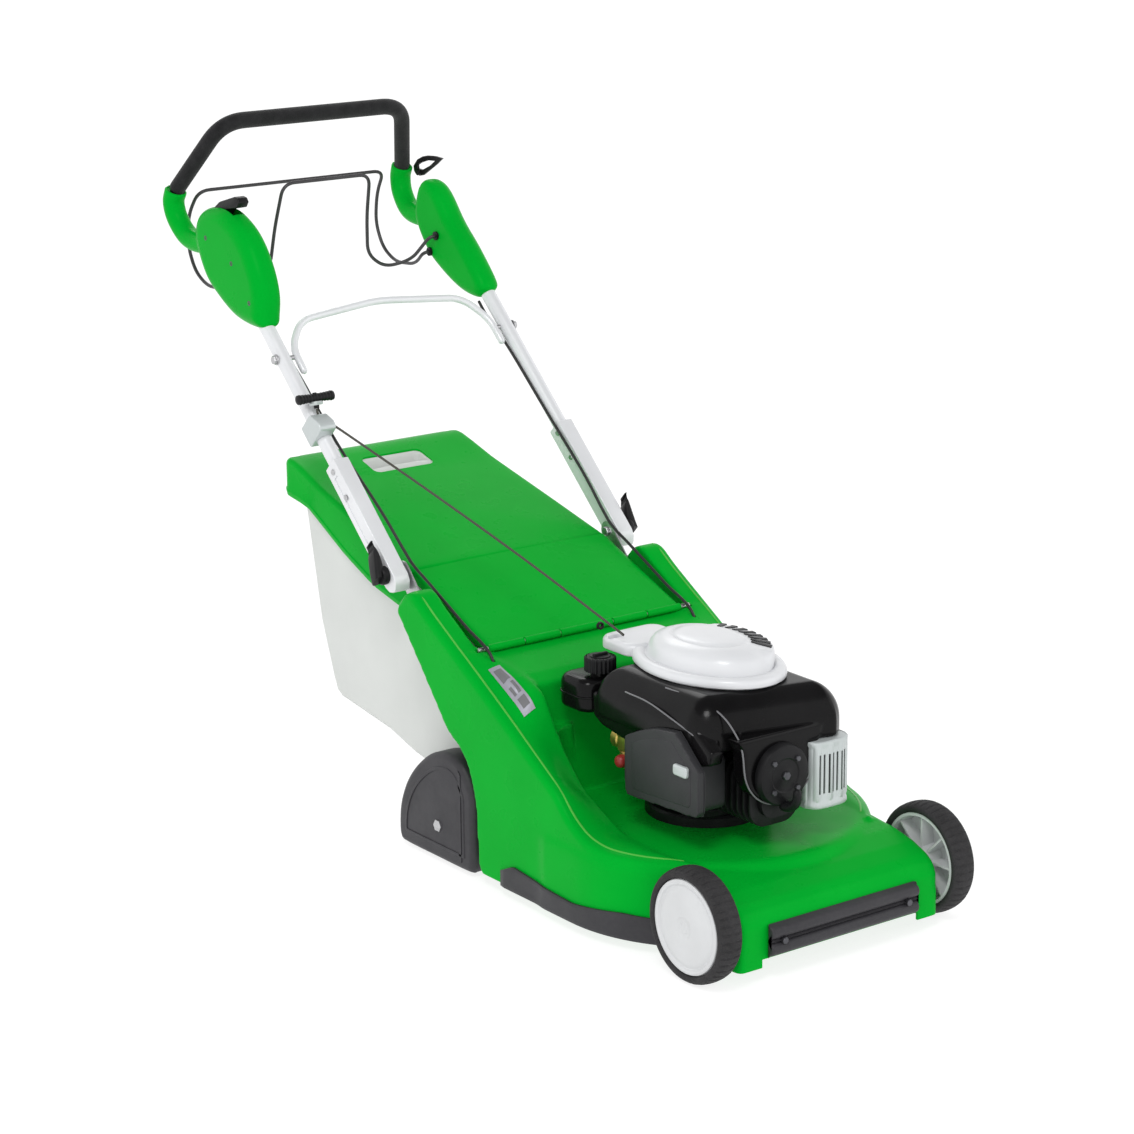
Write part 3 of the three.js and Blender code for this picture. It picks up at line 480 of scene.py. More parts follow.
def surface(name, colour, roughness, metallic=0.0, coat=0.0, tint=0.06, tint_scale=9.0,
            grain=0.08, grain_scale=900.0, grain_depth=0.0002, rough_range=0.06,
            stretch=(1, 1, 1), cells=0.0, dust=0.0, sheen=0.0, specular=0.5, glint=(1, 1, 1)):
    """A procedural material: two scales of colour change, uneven gloss and a fine grain."""
    made = bpy.data.materials.new(name)
    made.use_nodes = True
    made.diffuse_color = (*colour, 1)
    nodes = made.node_tree.nodes
    place = nodes.new("ShaderNodeTexCoord").outputs["Object"]
    spot = wired(nodes.new("ShaderNodeMapping"), Scale=stretch, Vector=place).outputs["Vector"]

    def noise(size, detail=3.0):
        texture = nodes.new("ShaderNodeTexNoise")
        return wired(texture, Scale=size, Detail=detail, Vector=spot).outputs["Fac"]

    def ramp(value, low, high):
        scaled = nodes.new("ShaderNodeMapRange")
        wired(scaled, From_Min=0.3, From_Max=0.7, To_Min=low, To_Max=high, Value=value)
        return scaled.outputs["Result"]

    shade = tuple(c * (1 - tint) for c in colour) + (1,)
    light = tuple(min(1.0, c * (1 + tint) + 0.02 * tint) for c in colour) + (1,)
    colours = mixed(nodes, ramp(noise(tint_scale), 0, 1), shade, light)
    if dust:
        speck = ramp(noise(tint_scale * 14, 6), 0, dust)
        colours = mixed(nodes, speck, colours, (0.32, 0.30, 0.26, 1))
    if cells:
        pattern = wired(nodes.new("ShaderNodeTexVoronoi"), Scale=cells, Vector=spot)
        height = pattern.outputs["Distance"]
    else:
        height = noise(grain_scale)
    bump = wired(nodes.new("ShaderNodeBump"), Strength=grain, Distance=grain_depth, Height=height)
    uneven = ramp(noise(tint_scale * 3), roughness - rough_range, roughness + rough_range)
    wired(nodes["Principled BSDF"], Metallic=metallic, Coat_Weight=coat, Coat_Roughness=0.08,
          Sheen_Weight=sheen, Specular_IOR_Level=specular, Specular_Tint=(*glint, 1),
          Base_Color=colours, Roughness=uneven, Normal=bump.outputs["Normal"])
    return made


def braided(name, colour, dark, roughness, scale):
    """A braid: two crossing bands in colour and height."""
    made = surface(name, colour, roughness)
    nodes = made.node_tree.nodes
    spot = next(n for n in nodes if n.type == "MAPPING").outputs["Vector"]
    both = nodes.new("ShaderNodeMath")
    both.operation = "MULTIPLY"
    for socket, turn in zip(both.inputs, (0.6, -0.6)):
        spin = wired(nodes.new("ShaderNodeMapping"), Rotation=(turn, turn, 0), Vector=spot)
        wave = nodes.new("ShaderNodeTexWave")
        wave.bands_direction = "Z"
        wired(wave, Scale=scale, Vector=spin.outputs["Vector"])
        made.node_tree.links.new(wave.outputs["Fac"], socket)
    weave = both.outputs["Value"]
    wired(nodes["Principled BSDF"], Base_Color=mixed(nodes, weave, (*dark, 1), (*colour, 1)))
    wired(next(n for n in nodes if n.type == "BUMP"), Strength=0.5, Distance=0.0006, Height=weave)
    return made


GREEN = surface("green_plastic", (0.0, 0.375, 0.024), 0.30, tint=0.04, grain=0.05,
                grain_scale=70, rough_range=0.05, specular=0.05, glint=(0.25, 1.0, 0.45))
# A lighter green than the deck's, for the ridge beads: a painted highlight along the deck's crease.
GREEN_HIGHLIGHT = surface("green_painted_highlight", (0.09, 0.46, 0.06), 0.34, tint=0.05, grain=0.04,
                     specular=0.3, glint=(0.4, 1.0, 0.5))
DARK = surface("dark_plastic", (0.030, 0.029, 0.034), 0.50, tint=0.12, grain=0.16,
               grain_scale=1500, grain_depth=0.0003, dust=0.02, specular=0.3)
BLACK_GLOSS = surface("black_gloss", (0.0018, 0.0016, 0.002), 0.20, coat=0.03, tint=0.2,
                      grain=0.02, rough_range=0.04, specular=0.14)
BLACK = surface("black_plastic", (0.006, 0.006, 0.007), 0.42, tint=0.2, grain=0.3,
                grain_scale=1600, grain_depth=0.0003, specular=0.2)
AIR_BOX = surface("filter_plastic", (0.026, 0.026, 0.029), 0.48, tint=0.12, grain=0.3,
                  grain_scale=1500, grain_depth=0.0003, specular=0.3)
CAP_WHITE = surface("cap_white", (0.70, 0.71, 0.73), 0.34, coat=0.2, tint=0.03, grain=0.02)
GUARD = surface("guard_silver", (0.52, 0.56, 0.56), 0.38, metallic=0.35, tint=0.06,
                grain=0.12)
HUB = surface("hub_plastic", (0.62, 0.63, 0.64), 0.40, tint=0.04, tint_scale=14, grain=0.12,
              dust=0.02)
TYRE = surface("tyre_rubber", (0.018, 0.0175, 0.020), 0.72, specular=0.25, tint=0.2, tint_scale=30,
               grain=0.5, grain_scale=1100, grain_depth=0.0004, dust=0.05)
ROLLER = surface("roller_rubber", (0.030, 0.030, 0.033), 0.66, tint=0.15, grain=0.4,
                 grain_scale=1000, grain_depth=0.0004, dust=0.06)
BOX_GREY = surface("box_plastic", (0.62, 0.64, 0.62), 0.58, tint=0.03, grain=0.2,
                   grain_scale=520, grain_depth=0.0004)
POWDER = surface("handle_coat", (0.74, 0.75, 0.77), 0.34, metallic=0.15, coat=0.2,
                 tint=0.03, grain=0.03, grain_scale=1300)
ZINC = surface("zinc_steel", (0.50, 0.50, 0.51), 0.34, metallic=0.95, tint=0.1,
               tint_scale=40, grain=0.15, stretch=(1, 1, 6))
DARK_STEEL = surface("dark_steel", (0.09, 0.09, 0.10), 0.42, metallic=0.85, tint=0.2,
                     tint_scale=30, grain=0.25, rough_range=0.1)
WIRE = surface("wire_grey", (0.055, 0.052, 0.056), 0.42, metallic=0.5, tint=0.12,
               tint_scale=50, grain=0.1)
CAST = surface("cast_alloy", (0.34, 0.34, 0.35), 0.52, metallic=0.85, tint=0.15,
               tint_scale=40, grain=0.7, grain_scale=500, grain_depth=0.0005)
BLACK_CAST = surface("black_cast", (0.007, 0.007, 0.008), 0.45, metallic=0.15, specular=0.2, tint=0.2,
                     tint_scale=40, grain=0.6, grain_scale=500, grain_depth=0.0005)
BRASS = surface("yellow_zinc", (0.58, 0.42, 0.12), 0.34, metallic=0.9, tint=0.2,
                tint_scale=60, grain=0.2)
RED = surface("red_plastic", (0.30, 0.02, 0.02), 0.40, tint=0.1, grain=0.1)
BELT = surface("belt_rubber", (0.014, 0.014, 0.014), 0.7, tint=0.2, grain=0.5,
               grain_scale=700, grain_depth=0.0005)
FOAM = surface("grip_foam", (0.010, 0.010, 0.011), 0.86, specular=0.2, tint=0.2, tint_scale=60, grain=0.7,
               cells=900, grain_depth=0.0006, sheen=0.15)
LABEL = surface("label_silver", (0.42, 0.42, 0.48), 0.34, metallic=0.4, tint=0.04,
                # A grey for the print on the side label, and for the painted highlight lines along the blower
                # housing's edges.
                grain=0.05)
GREY_PRINT_AND_HIGHLIGHT = surface("print_and_highlight_grey", (0.16, 0.16, 0.17), 0.45, tint=0.1, grain=0.3)
ROPE = braided("starter_rope", (0.16, 0.15, 0.12), (0.04, 0.04, 0.035), 0.85, 160)
CABLE = surface("cable_sleeve", (0.012, 0.012, 0.012), 0.45, tint=0.1, grain=0.2,
                grain_scale=900)


# ---------------------------------------------------------------- starter rope and control cables
ROPE_R, CABLE_R, CABLE_X = 2, 2.5, 195.5
PULL = np.array([0, 0.25, 0.9682])
STARTER_SEAT = np.array([-222, 968.5, 679])
ROPE_ROUTE = [
    (-62, 372, 394),
    (-66, 388, 402),
    (-109, 550, 478),
    (-156, 730, 555),
    (-200, 900, 624),
    (-212, 942, 641),
    (-221, 960, 652),
    tuple(STARTER_SEAT - 18 * PULL),
]


def add_ropes():
    line = smooth_line(ROPE_ROUTE, 10)
    inside_guide = 58
    run = tube("starter_rope_run", line[:inside_guide], ROPE_R, 12)
    finish(run, None, ROPE, replaces="starter_rope")
    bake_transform(run)
    tail = tube("starter_rope_tail", line[inside_guide - 2:], ROPE_R, 12)
    finish(tail, None, ROPE)
    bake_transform(tail)


def add_cables():
    route = [
        (-207.5, 1124, 762),
        (-205.2, 1098, 742),
        on_tube(-205.2, 380, -2),
        on_tube(-205.2, 250, 4),
        on_tube(-200, 110, 18),
        on_tube(-CABLE_X - 1, 30, 20),
        (-CABLE_X, 735, 447),
        (-CABLE_X, 690, 426),
        (-CABLE_X, 640, 402),
        (-CABLE_X, 590, 378),
        (-CABLE_X, 552, 363.5),
        (-CABLE_X, 530, 351),
        (-CABLE_X, 522, 338),
        (-CABLE_X, 522, 324),
    ]
    line = smooth_line([tuple(p) for p in route], 8)
    for side, sign in (("right", 1), ("left", -1)):
        cable = tube(f"cable_{side}", line * (sign, 1, 1), CABLE_R, 12)
        finish(cable, None, CABLE, replaces=f"control_cable_{side}")
        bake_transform(cable)


# ---------------------------------------------------------------- deck
HORN_IN, HORN_OUT = 203, 246
DRUM_R, BEAD_R = 247, 232
RIDGE = [(100, 139), (195, 141), (232, 150), (271, 172), (300, 203), (399, 264), (501, 325),
         (633, 402), (668, 427), (688, 422), (705, 410), (709, 392)]
INNER_EDGE = [(100, 139), (225, 141), (250, 151), (326, 184), (387, 246), (424, 311), (460, 324),
              (545, 346), (560, 350)]
HORN_FOOT = [(100, 20), (499, 20), (502, 135), (525, 189), (543, 207), (577, 227), (643, 307),
             (709, 386)]


def eased(points, reach=14):
    """A broken line as a function of its first number, its corners eased over a reach."""
    grid = np.linspace(points[0][0], points[-1][0], 600)
    values = np.interp(grid, *zip(*points))
    step = grid[1] - grid[0]
    count = max(1, int(reach / step)) * 2 + 1
    padded = np.pad(values, count // 2, mode="edge")
    values = np.convolve(padded, np.ones(count) / count, "valid")
    return lambda at: float(np.interp(at, grid, values))


def horn_and_shoulder(sign):
    """One side of the deck: the strip from its inner edge to its ridge, and its wall."""
    ridge, edge = eased(RIDGE), eased(INNER_EDGE)
    foot = eased(HORN_FOOT, 4)
    rings = []
    for y in [*np.linspace(66, 497, 62), 500, 503, *np.linspace(510, 709, 34)]:
        inner = float(np.interp(y, (549, 556), (170, HORN_IN)))
        outer = HORN_OUT
        if y < CRANK_Y:
            outer = min(HORN_OUT, math.sqrt(DRUM_R ** 2 - (y - CRANK_Y) ** 2))
        top, low = ridge(y), foot(y)
        start = edge(y) if y < 552 else top
        section = []
        for x in np.linspace(inner, outer - 10, 9):
            t = (x - inner) / (outer - 10 - inner)
            crown = 4 * math.sin(math.pi * t) if y < 552 else 0
            section.append((x, start + (top - start) * (t * t * (3 - 2 * t)) + crown))
        section += [(outer - 5, top - 1.5), (outer - 1.5, top - 5), (outer, top - 11)]
        section += [(outer, min(low, top - 12)), (inner, min(low, top - 12))]
        rings.append([(sign * x, y, z) for x, z in section])
    return loft("horn", rings)


def belly_plan():
    """The deck's drum seen from above, with its straight sides behind the crankshaft."""
    side = [*arc(0, CRANK_Y, 249.5, -58, 0, 20), (249.5, 300), (249.3, 322), (246.5, 340),
            (245.8, 352), (245.5, 420), (245.5, 480)]
    rear = [(241, 493), (228, 497)]
    half = side + rear
    front = arc(0, CRANK_Y, 249.5, 238, 302, 30)[1:-1]
    return [*half, *[(-x, y) for x, y in half[::-1]], *front]


def deck_shape():
    belly = pillow("belly", "z", belly_plan(), 12, 140.5, high=20, steps=8)
    hood_side = [(-60, 4), (-60, 84), (-57, 92), (-50, 103), (-38, 112), (-10, 123), (30, 132),
                 (80, 137), (130, 138), (130, 4)]
    hood = pillow("hood", "x", dense_outline(hood_side, 6)[::-1], -190, 190, low=13, high=13)
    middle = prism("middle", "x",
                   [(420, 130), (436, 226), (450, 316), (474, 327), (536, 344), (556, 349), (560, 344),
                    (560, 132), (500, 112), (497, 12), (420, 12)], -HORN_IN - 1, HORN_IN + 1)
    parts = [belly, hood, middle]
    edge = eased(INNER_EDGE)
    for sign in (-1, 1):
        parts.append(horn_and_shoulder(sign))
        corner = (sign * 112, 372)
        cove = [(sign * 178, 372), *arc(*corner, 58, 0 if sign > 0 else 180, 90, 14),
                (corner[0], 446), (sign * 178, 446)]
        low = [(x, y, 120) for x, y in cove]
        high = [(x, y, min(edge(y) - 3, 250)) for x, y in cove]
        parts.append(loft("cove", [low, high]))
        parts.append(pillow("foot", "z", rounded_box(sign * 180, -50, 16, 20, 6), 14, 60, low=3))
    shape = melt(join("deck_shell", *parts), 3.0, 9)
    below = prism("below", "z", [(-290, -80), (290, -80), (290, 600), (-290, 600)], -20, DECK_RIM)
    under_bumper = prism("under_bumper", "z", rounded_box(0, -70, 296, 50, 8), -20, 33)
    carve(shape, below)
    return carve(shape, under_bumper)


def hollow_deck(shape):
    """Cuts the chamber round the blade, the duct to the box and the rooms under the sides."""
    round_room = disc("room", "z", [(0, 10), (224, 10), (224, 126), (218, 132), (0, 132)],
                      0, CRANK_Y, 96)
    hood_room = prism("room", "x", [(-56, 0), (-56, 80), (-47, 97), (-34, 106), (-8, 118),
                                    (16, 124), (16, 0)], -182, 182)
    ring = turned("room", "z", [(229, 0), (245, 0), (245, 112), (240, 122), (229, 124)], 0, CRANK_Y, 96)
    chute = prism("room", "x", [(360, 90), (360, 131), (410, 132), (428, 142), (458, 309),
                                (575, 334), (575, 141), (466, 103), (455, 90)], -150, 150)
    well = disc("room", "z", [(0, 100), (60, 100), (60, 150), (0, 150)], 0, CRANK_Y, 64)
    belt = prism("room", "z", [(-36, 462), (36, 462), (36, 510), (-36, 510)], 77, 99)
    carve(shape, hood_room, round_room)
    carve(shape, ring, chute, well, belt)
    for sign in (-1, 1):
        outline = [(340, 205), (340, 120), (360, 10), (493, 10), (498, 130), (520, 185),
                   (545, 200), (574, 222), (640, 302), (697, 385), (697, 396), (668, 412), (632, 388),
                   (501, 311), (399, 250), (350, 219)]
        carve(shape, prism("room", "x", outline, *span(sign, 208, 240)))
        carve(shape, prism("room", "z", [(sign * 156, 400), (sign * 199, 336), (sign * 199, 492),
                                         (sign * 156, 492)], 5, 130))
        carve(shape, prism("room", "x", [(466, 10), (466, 108), (515, 108), (515, 10)],
                           *span(sign, 193, 206)))
        carve(shape, bar("room", "x", 490, 41.5, 5.4, *span(sign, 188, 214)))
        carve(shape, bar("room", "x", *FLAP_PIN, 4.4, *span(sign, 190, 210)))
        carve(shape, bar("room", "z", sign * CABLE_X, 522, 3.6, 315, 350))
        carve(shape, prism("room", "x", rounded_box(-5, 64, 26, 60, 10),
                           *span(sign, 176, 196)))
    return shape


def add_deck():
    shape = deck_shape()
    edge = eased(INNER_EDGE)
    for sign in (-1, 1):
        seam = [(sign * 166.5, y, edge(y) + 1.5) for y in np.linspace(248, 452, 40)]
        carve(shape, tube("seam", seam, 3.2, 10))
    hollow_deck(shape)
    finish(shape, "root", GREEN, replaces="deck_housing", angle=38)


def on_deck(x, y, lift):
    """The point straight above (x, y) on the deck's upper skin, in machine coordinates."""
    start = frame_point(x, y, 700)
    hit, spot, _, _ = bpy.data.objects["deck_shell"].ray_cast(start, Vector((0, 0, -1)))
    return (x, y, spot.z / MM + lift) if hit else (x, y, 0)


def deck_plate(name, xs, ys, lift, thickness):
    """A thin plate that follows the right side of the deck."""
    return sheet(name, [[on_deck(-x, y, lift) for x in xs] for y in ys], thickness)


def add_label():
    plate = deck_plate("side_label", np.linspace(194, 215, 12), np.linspace(416, 508, 26), 1.0, 1.2)
    finish(plate, "root", LABEL)
    marks = [deck_plate("mark", np.linspace(low, high, 5), np.linspace(start, end, 8), 1.9, 0.5)
             for start, end, low, high in ((424, 440, 198, 210), (446, 468, 198, 203),
                                           (446, 462, 206, 210), (474, 500, 198, 211))]
    finish(join("label_print", *marks), "root", GREY_PRINT_AND_HIGHLIGHT)


def add_ridge_highlights():
    """The crisp crease between the deck's top strip and its side, drawn as a raised bead in a lighter green:
    a painted highlight.
    """
    for name, sign in SIDES:
        line = []
        for y in np.linspace(92, 676, 120):
            reach = BEAD_R if y > CRANK_Y else math.sqrt(BEAD_R ** 2 - (y - CRANK_Y) ** 2)
            line.append(on_deck(sign * reach, y, -0.5))
        for _ in range(8):
            line[1:-1] = [(b[0], b[1], (a[2] + 2 * b[2] + c[2]) / 4)
                          for a, b, c in zip(line, line[1:], line[2:])]
        bead = tube(f"ridge_{name}", line, 1.7, 8, dome=True)
        # The bead's lighter green is a painted highlight along the ridge.
        finish(bead, "root", GREEN_HIGHLIGHT)


def add_trim():
    profile = []
    for z in (47, 72):
        profile += arc(-64, z, 10, 255, 105, 8)
    profile = [(-60.5, 34), *profile[:9], (-70.5, 59.5), *profile[9:], (-60.5, 84)]
    bumper = pillow("bumper", "x", profile[::-1], -140, 140, low=4, high=4, steps=3)
    finish(bumper, "root", DARK, replaces="front_bumper")
    for i, x in enumerate((-118, 118)):
        head = disc(f"bumper_screw_{i}", "y", [(0, -76.5), (4, -76.5), (5, -75.5), (5, -70), (0, -70)],
                    x, 59.5, 24)
        finish(head, "root", DARK_STEEL)


def deck_side(sign, y, z):
    """How far out the deck's side stands at a given length and height."""
    start = frame_point(sign * 400, y, z)
    hit, spot, _, _ = bpy.data.objects["deck_shell"].ray_cast(start, Vector((-sign, 0, 0)))
    return abs(spot.x) / MM if hit else 240.0


def add_skirts():
    top_edge = eased([(60, 56), (112, 56), (156, 57), (250, 47), (340, 51), (404, 57), (440, 40)], 8)
    for name, sign in SIDES:
        rings = []
        stations = np.linspace(72, 439, 80)
        reach = np.array([min(deck_side(sign, y, z) for z in (24, 34, 44)) for y in stations])
        reach[1:-1] = (reach[:-2] + 2 * reach[1:-1] + reach[2:]) / 4
        for y, side in zip(stations, reach):
            top = top_edge(y)
            out = [(0.6, 17), (3.2, 16.2), (4.6, 18), (5.0, 22), (4.4, top - 7), (5.0, top - 5),
                   (5.0, top - 1.5), (4.0, top), (0.6, top)]
            ease = min(1, (y - 70) / 14, (441 - y) / 14)
            rings.append([(sign * (side + 0.6 + (grow - 0.6) * ease), y, z) for grow, z in out])
        strip = loft(f"skirt_{name}", rings)
        finish(strip, "root", DARK, replaces=f"side_skirt_{name}")


def add_flap():
    def top(x, y):
        crown = 3.2 * (1 - (x / 188) ** 2) * math.sin(math.pi * min(1, (y - 545) / 260))
        return 358 + (y - 549) * (434 - 358) / (747 - 549) + crown

    xs = [-187.6, -187.2, -185.5, -182, *np.linspace(-176, 176, 33), 182, 185.5, 187.2, 187.6]
    rows = []
    for y in np.linspace(551, 747, 30):
        row = []
        for x in xs:
            drop = 0 if abs(x) < 182 else (1 - math.sqrt(max(0, 1 - ((abs(x) - 182) / 5.6) ** 2))) * 5.6
            row.append((x, y, top(x, y) - drop))
        depth = 12 * min(1, (y - 549) / 30)
        row = [(-187.6, y, row[0][2] - depth), *row, (187.6, y, row[-1][2] - depth)]
        rows.append(row)
    panel = sheet("flap_panel", rows, 3, -1)
    knuckles = [bar("knuckle", "x", *FLAP_PIN, 6, a, b, 1.2, 28)
                for a, b in ((-187, -120), (-118, -52), (-50, 50), (52, 118), (120, 187))]
    finish(join("flap_shell", panel, *knuckles), "rear_flap", GREEN, replaces="rear_flap")
    pin = bar("flap_pin", "x", *FLAP_PIN, 3.6, -206, 206, 1, 20)
    finish(pin, "rear_flap", ZINC)


def hexagon(name, axis, a, b, size, start, end):
    """A hexagon bolt head with its chamfered top."""
    rings = []
    towards = 1 if end > start else -1
    for grow, depth in ((1, start), (1, end - towards * 1.2), (0.86, end)):
        rings.append([placed(axis, a + size * grow * math.cos(t), b + size * grow * math.sin(t), depth)
                      for t in np.radians(np.arange(6) * 60)])
    return loft(name, rings)


def add_brackets():
    for name, sign in SIDES:
        start = on_tube(0, -118, -6)
        outline = [*arc(FOLD[1], FOLD[2], 17, -40, 130, 16), (start[1] - 6, start[2] + 14),
                   (start[1] - 13, start[2] + 3), (start[1] - 4, start[2] - 12),
                   (start[1] + 6, start[2] - 14)]
        plate = prism("plate", "x", outline, *span(sign, 202.7, 199.7))
        bevel(plate, 0.8, 2)
        heads = []
        for along in (-100, -68):
            _, y, z = on_tube(0, along, -8)
            heads.append(hexagon("h", "x", y, z, 7, sign * 199.9, sign * 195.6))
            heads.append(bar("w", "x", y, z, 8.5, *span(sign, 200, 198.6), 0.4, 28))
        finish(join(f"bracket_{name}", plate, *heads), "root", ZINC,
               replaces=f"handle_bracket_{name}")


# ---------------------------------------------------------------- engine
def shroud_plan():
    """The blower housing seen from above."""
    corners = [
        *arc(60, 88, 46, -75, 10, 10), (106, 180), (108, 260), *arc(48, 330, 60, 0, 80, 10),
        (10, 394), (-30, 398), (-36, 384), (-40, 366), (-48, 354), (-60, 351), (-90, 350.5),
        (-122, 350), (-134, 342), (-138, 328), (-138, 240), *arc(-92, 130, 46, 180, 255, 9),
        (-60, 75.2), (-20, 65.5), (30, 53.6),
    ]
    return smooth_outline(corners, 3)


def add_blower_housing():
    plan = shroud_plan()
    moved = shrinkable(plan, (-10, 225), 240)
    rings = []
    for by, z in [(2.5, 292), (0.8, 293), (0, 296), (0, 314), (0.8, 323), (2.6, 331), (5.5, 338.5),
                  (9.5, 345.5), (14, 351.5), (19, 356.5), (24.5, 361), (30, 364.4), (35, 366.6),
                  (39, 368)]:
        rings.append([(x, y, z) for x, y in moved(by)])
    shell = loft("blower_shell", rings)
    centre = (-26, 278)
    bib = [(-104, 318), (-95, 300), *arc(*centre, 68, 180, 360, 28), (52, 300), (52, 318)]
    shield = pillow("shield", "y", bib, 47, 74, low=5)
    cheek = pillow("cheek", "x", [(352, 288), (352, 325), (110, 325), (70, 300), (76, 280),
                                  (130, 262), (240, 262), (330, 276)], -136, -112, low=6)
    shell = melt(join("blower_shell", shell, shield, cheek), 2.2, 5)
    room = loft("room", [[(x, y, z) for x, y in moved(by)] for by, z in
                         ((4.5, 270), (4.5, 318), (7.5, 332), (16, 346))])
    wheel_room = disc("room", "z", [(0, 336), (72, 336), (72, 352), (62, 360), (46, 362),
                                    (46, 380), (0, 380)], 0, CRANK_Y, 64)
    behind = prism("room", "y", [(-88, 276), *arc(*centre, 60, 184, 356, 24), (36, 276)], 55, 80)
    carve(shell, room, wheel_room)
    carve(shell, behind)
    finish(shell, "root", BLACK_GLOSS, replaces="blower_housing", angle=50)
    # A thin grey bead along the shroud's upper shoulder edge: a painted highlight.
    rim = [(-112, 205, 362), (-109, 160, 361), (-104, 118, 356), (-100, 88, 345), (-98, 66, 328),
           (-96, 51, 306), *[(x, 47.5, z) for x, z in arc(*centre, 68, 186, 344, 20)]]
    bead = tube("shroud_rim_highlight", smooth_line(rim, 5), 1.3, 8, dome=True)
    finish(bead, "root", GREY_PRINT_AND_HIGHLIGHT)
    # A thin grey bead along the shroud's lower crease: a painted highlight.
    low = [(-137.6, 268, 345), (-138.2, 214, 343), (-138.2, 160, 332), (-135, 112, 318)]
    crease = tube("shroud_crease_highlight", smooth_line(low, 8), 1.2, 8, dome=True)
    finish(crease, "root", GREY_PRINT_AND_HIGHLIGHT)


def add_engine_cap():
    centre, reach = np.array([-8, 234]), np.array([97, 138])
    profile = [(0.88, 368.4), (0.97, 368.6), (0.995, 371), (1.0, 375), (0.992, 379), (0.97, 382.4),
               (0.94, 384), (0.90, 384.6), (0.865, 384), (0.845, 382), (0.83, 381.2),
               (0.815, 382), (0.80, 386), (0.785, 392), (0.76, 399), (0.725, 404.5),
               (0.67, 409), (0.60, 412.4), (0.53, 414.8), (0.50, 415.2), (0.485, 414.2),
               (0.47, 414.2), (0.455, 415.8), (0.36, 418), (0.2, 419.5), (0.08, 420)]
    count = 128
    flat = [(0.83, 381.2), (0.84, 392), (0.84, 400), (0.835, 405), (0.82, 407.4), (0.78, 408.6),
            (0.70, 409.8), (0.62, 411), (0.56, 412.4), (0.50, 413.6)]
    start = profile.index((0.83, 381.2))
    rings = []
    for row, (t, z) in enumerate(profile):
        ring = []
        for i in range(count):
            angle = 2 * math.pi * i / count
            off = abs((math.degrees(angle) + 12 + 180) % 360 - 180)
            share = np.clip((62 - off) / 18, 0, 1) if start <= row < start + len(flat) else 0
            share = share * share * (3 - 2 * share)
            far, high = flat[row - start] if share else (t, z)
            place = t + (far - t) * share
            x, y = centre + reach * place * (math.cos(angle), math.sin(angle))
            ring.append((x, y, z + (high - z) * share))
        rings.append(ring)
    cap = loft("engine_cap_shell", rings)
    rear = pillow("rear", "z", rounded_box(-20, 376, 112, 88, 24, 8), 368.4, 387, low=2, high=8)
    carve(cap, rear, operation="UNION")
    room = bar("room", "z", 0, CRANK_Y, 62, 360, 386, 1, 64)
    outlet = bar("room", "y", -62, 394, 6.5, 366, 430, 1, 24)
    well = prism("room", "z", rounded_box(-60, 392, 26, 16, 7), 381, 400)
    carve(cap, room, outlet)
    carve(cap, well)
    finish(cap, "root", CAP_WHITE, replaces="engine_cap", angle=40)
    bars = []
    shares, heights = zip(*flat[:4:-1])
    for angle in np.radians(np.linspace(-50, 27, 8)):
        radial = np.array([math.cos(angle), math.sin(angle)])
        across = np.array([-radial[1], radial[0]])
        rows = []
        for share in np.linspace(0.54, 0.80, 7):
            high = np.interp(share, shares, heights)
            half = 3.2 + 8 * (share - 0.54)
            rows.append([(*(centre + reach * share * radial + across * side), high + 0.4)
                         for side in (-half, 0, half)])
        bars.append(sheet("bar", rows, 2))
    finish(join("cap_grille", *bars), "root", BLACK)
    mouth = turned("rope_mouth", "y", [(2.6, 396), (4, 394.5), (6, 395), (6.4, 399), (4, 401),
                                       (2.6, 399.5)], -64.5, 396.5, 32, offset=28)
    finish(mouth, "root", BLACK)


def add_air_filter():
    body = prism("filter_body", "x", rounded_box(185, 241, 166, 86, 14, 6), -141, -83)
    corners = [(80, 218), (83, 208), (92, 203), (166, 199), (240, 195), (249, 199), (252, 208),
               (252, 244), (252, 278), (248, 287), (192, 310), (140, 318), (130, 315), (106, 294),
               (84, 274), (80, 264)]
    plan = smooth_outline(corners, 5)
    lid = prism("filter_lid", "x", plan, -152, -139)
    case = melt(join("filter_case", body, lid), 2, 5)
    middle = (166, 254)

    def scaled(long, tall):
        return [(middle[0] + (a - middle[0]) * long, middle[1] + (b - middle[1]) * tall)
                for a, b in plan]

    panel = pillow("panel", "x", scaled(0.8, 0.78), -152.8, -148, low=1.8, steps=4, centre=middle)
    seam = prism("seam", "x", scaled(1.006, 1.01), -141, -139.6)
    clip = pillow("filter_clip", "x", rounded_box(117, 267, 32, 17, 5, 5), -157.5, -150, low=2.5, steps=4)
    finish(join("filter_case", case, panel, seam), "root", AIR_BOX, replaces="air_filter_box")
    finish(clip, "root", GUARD)


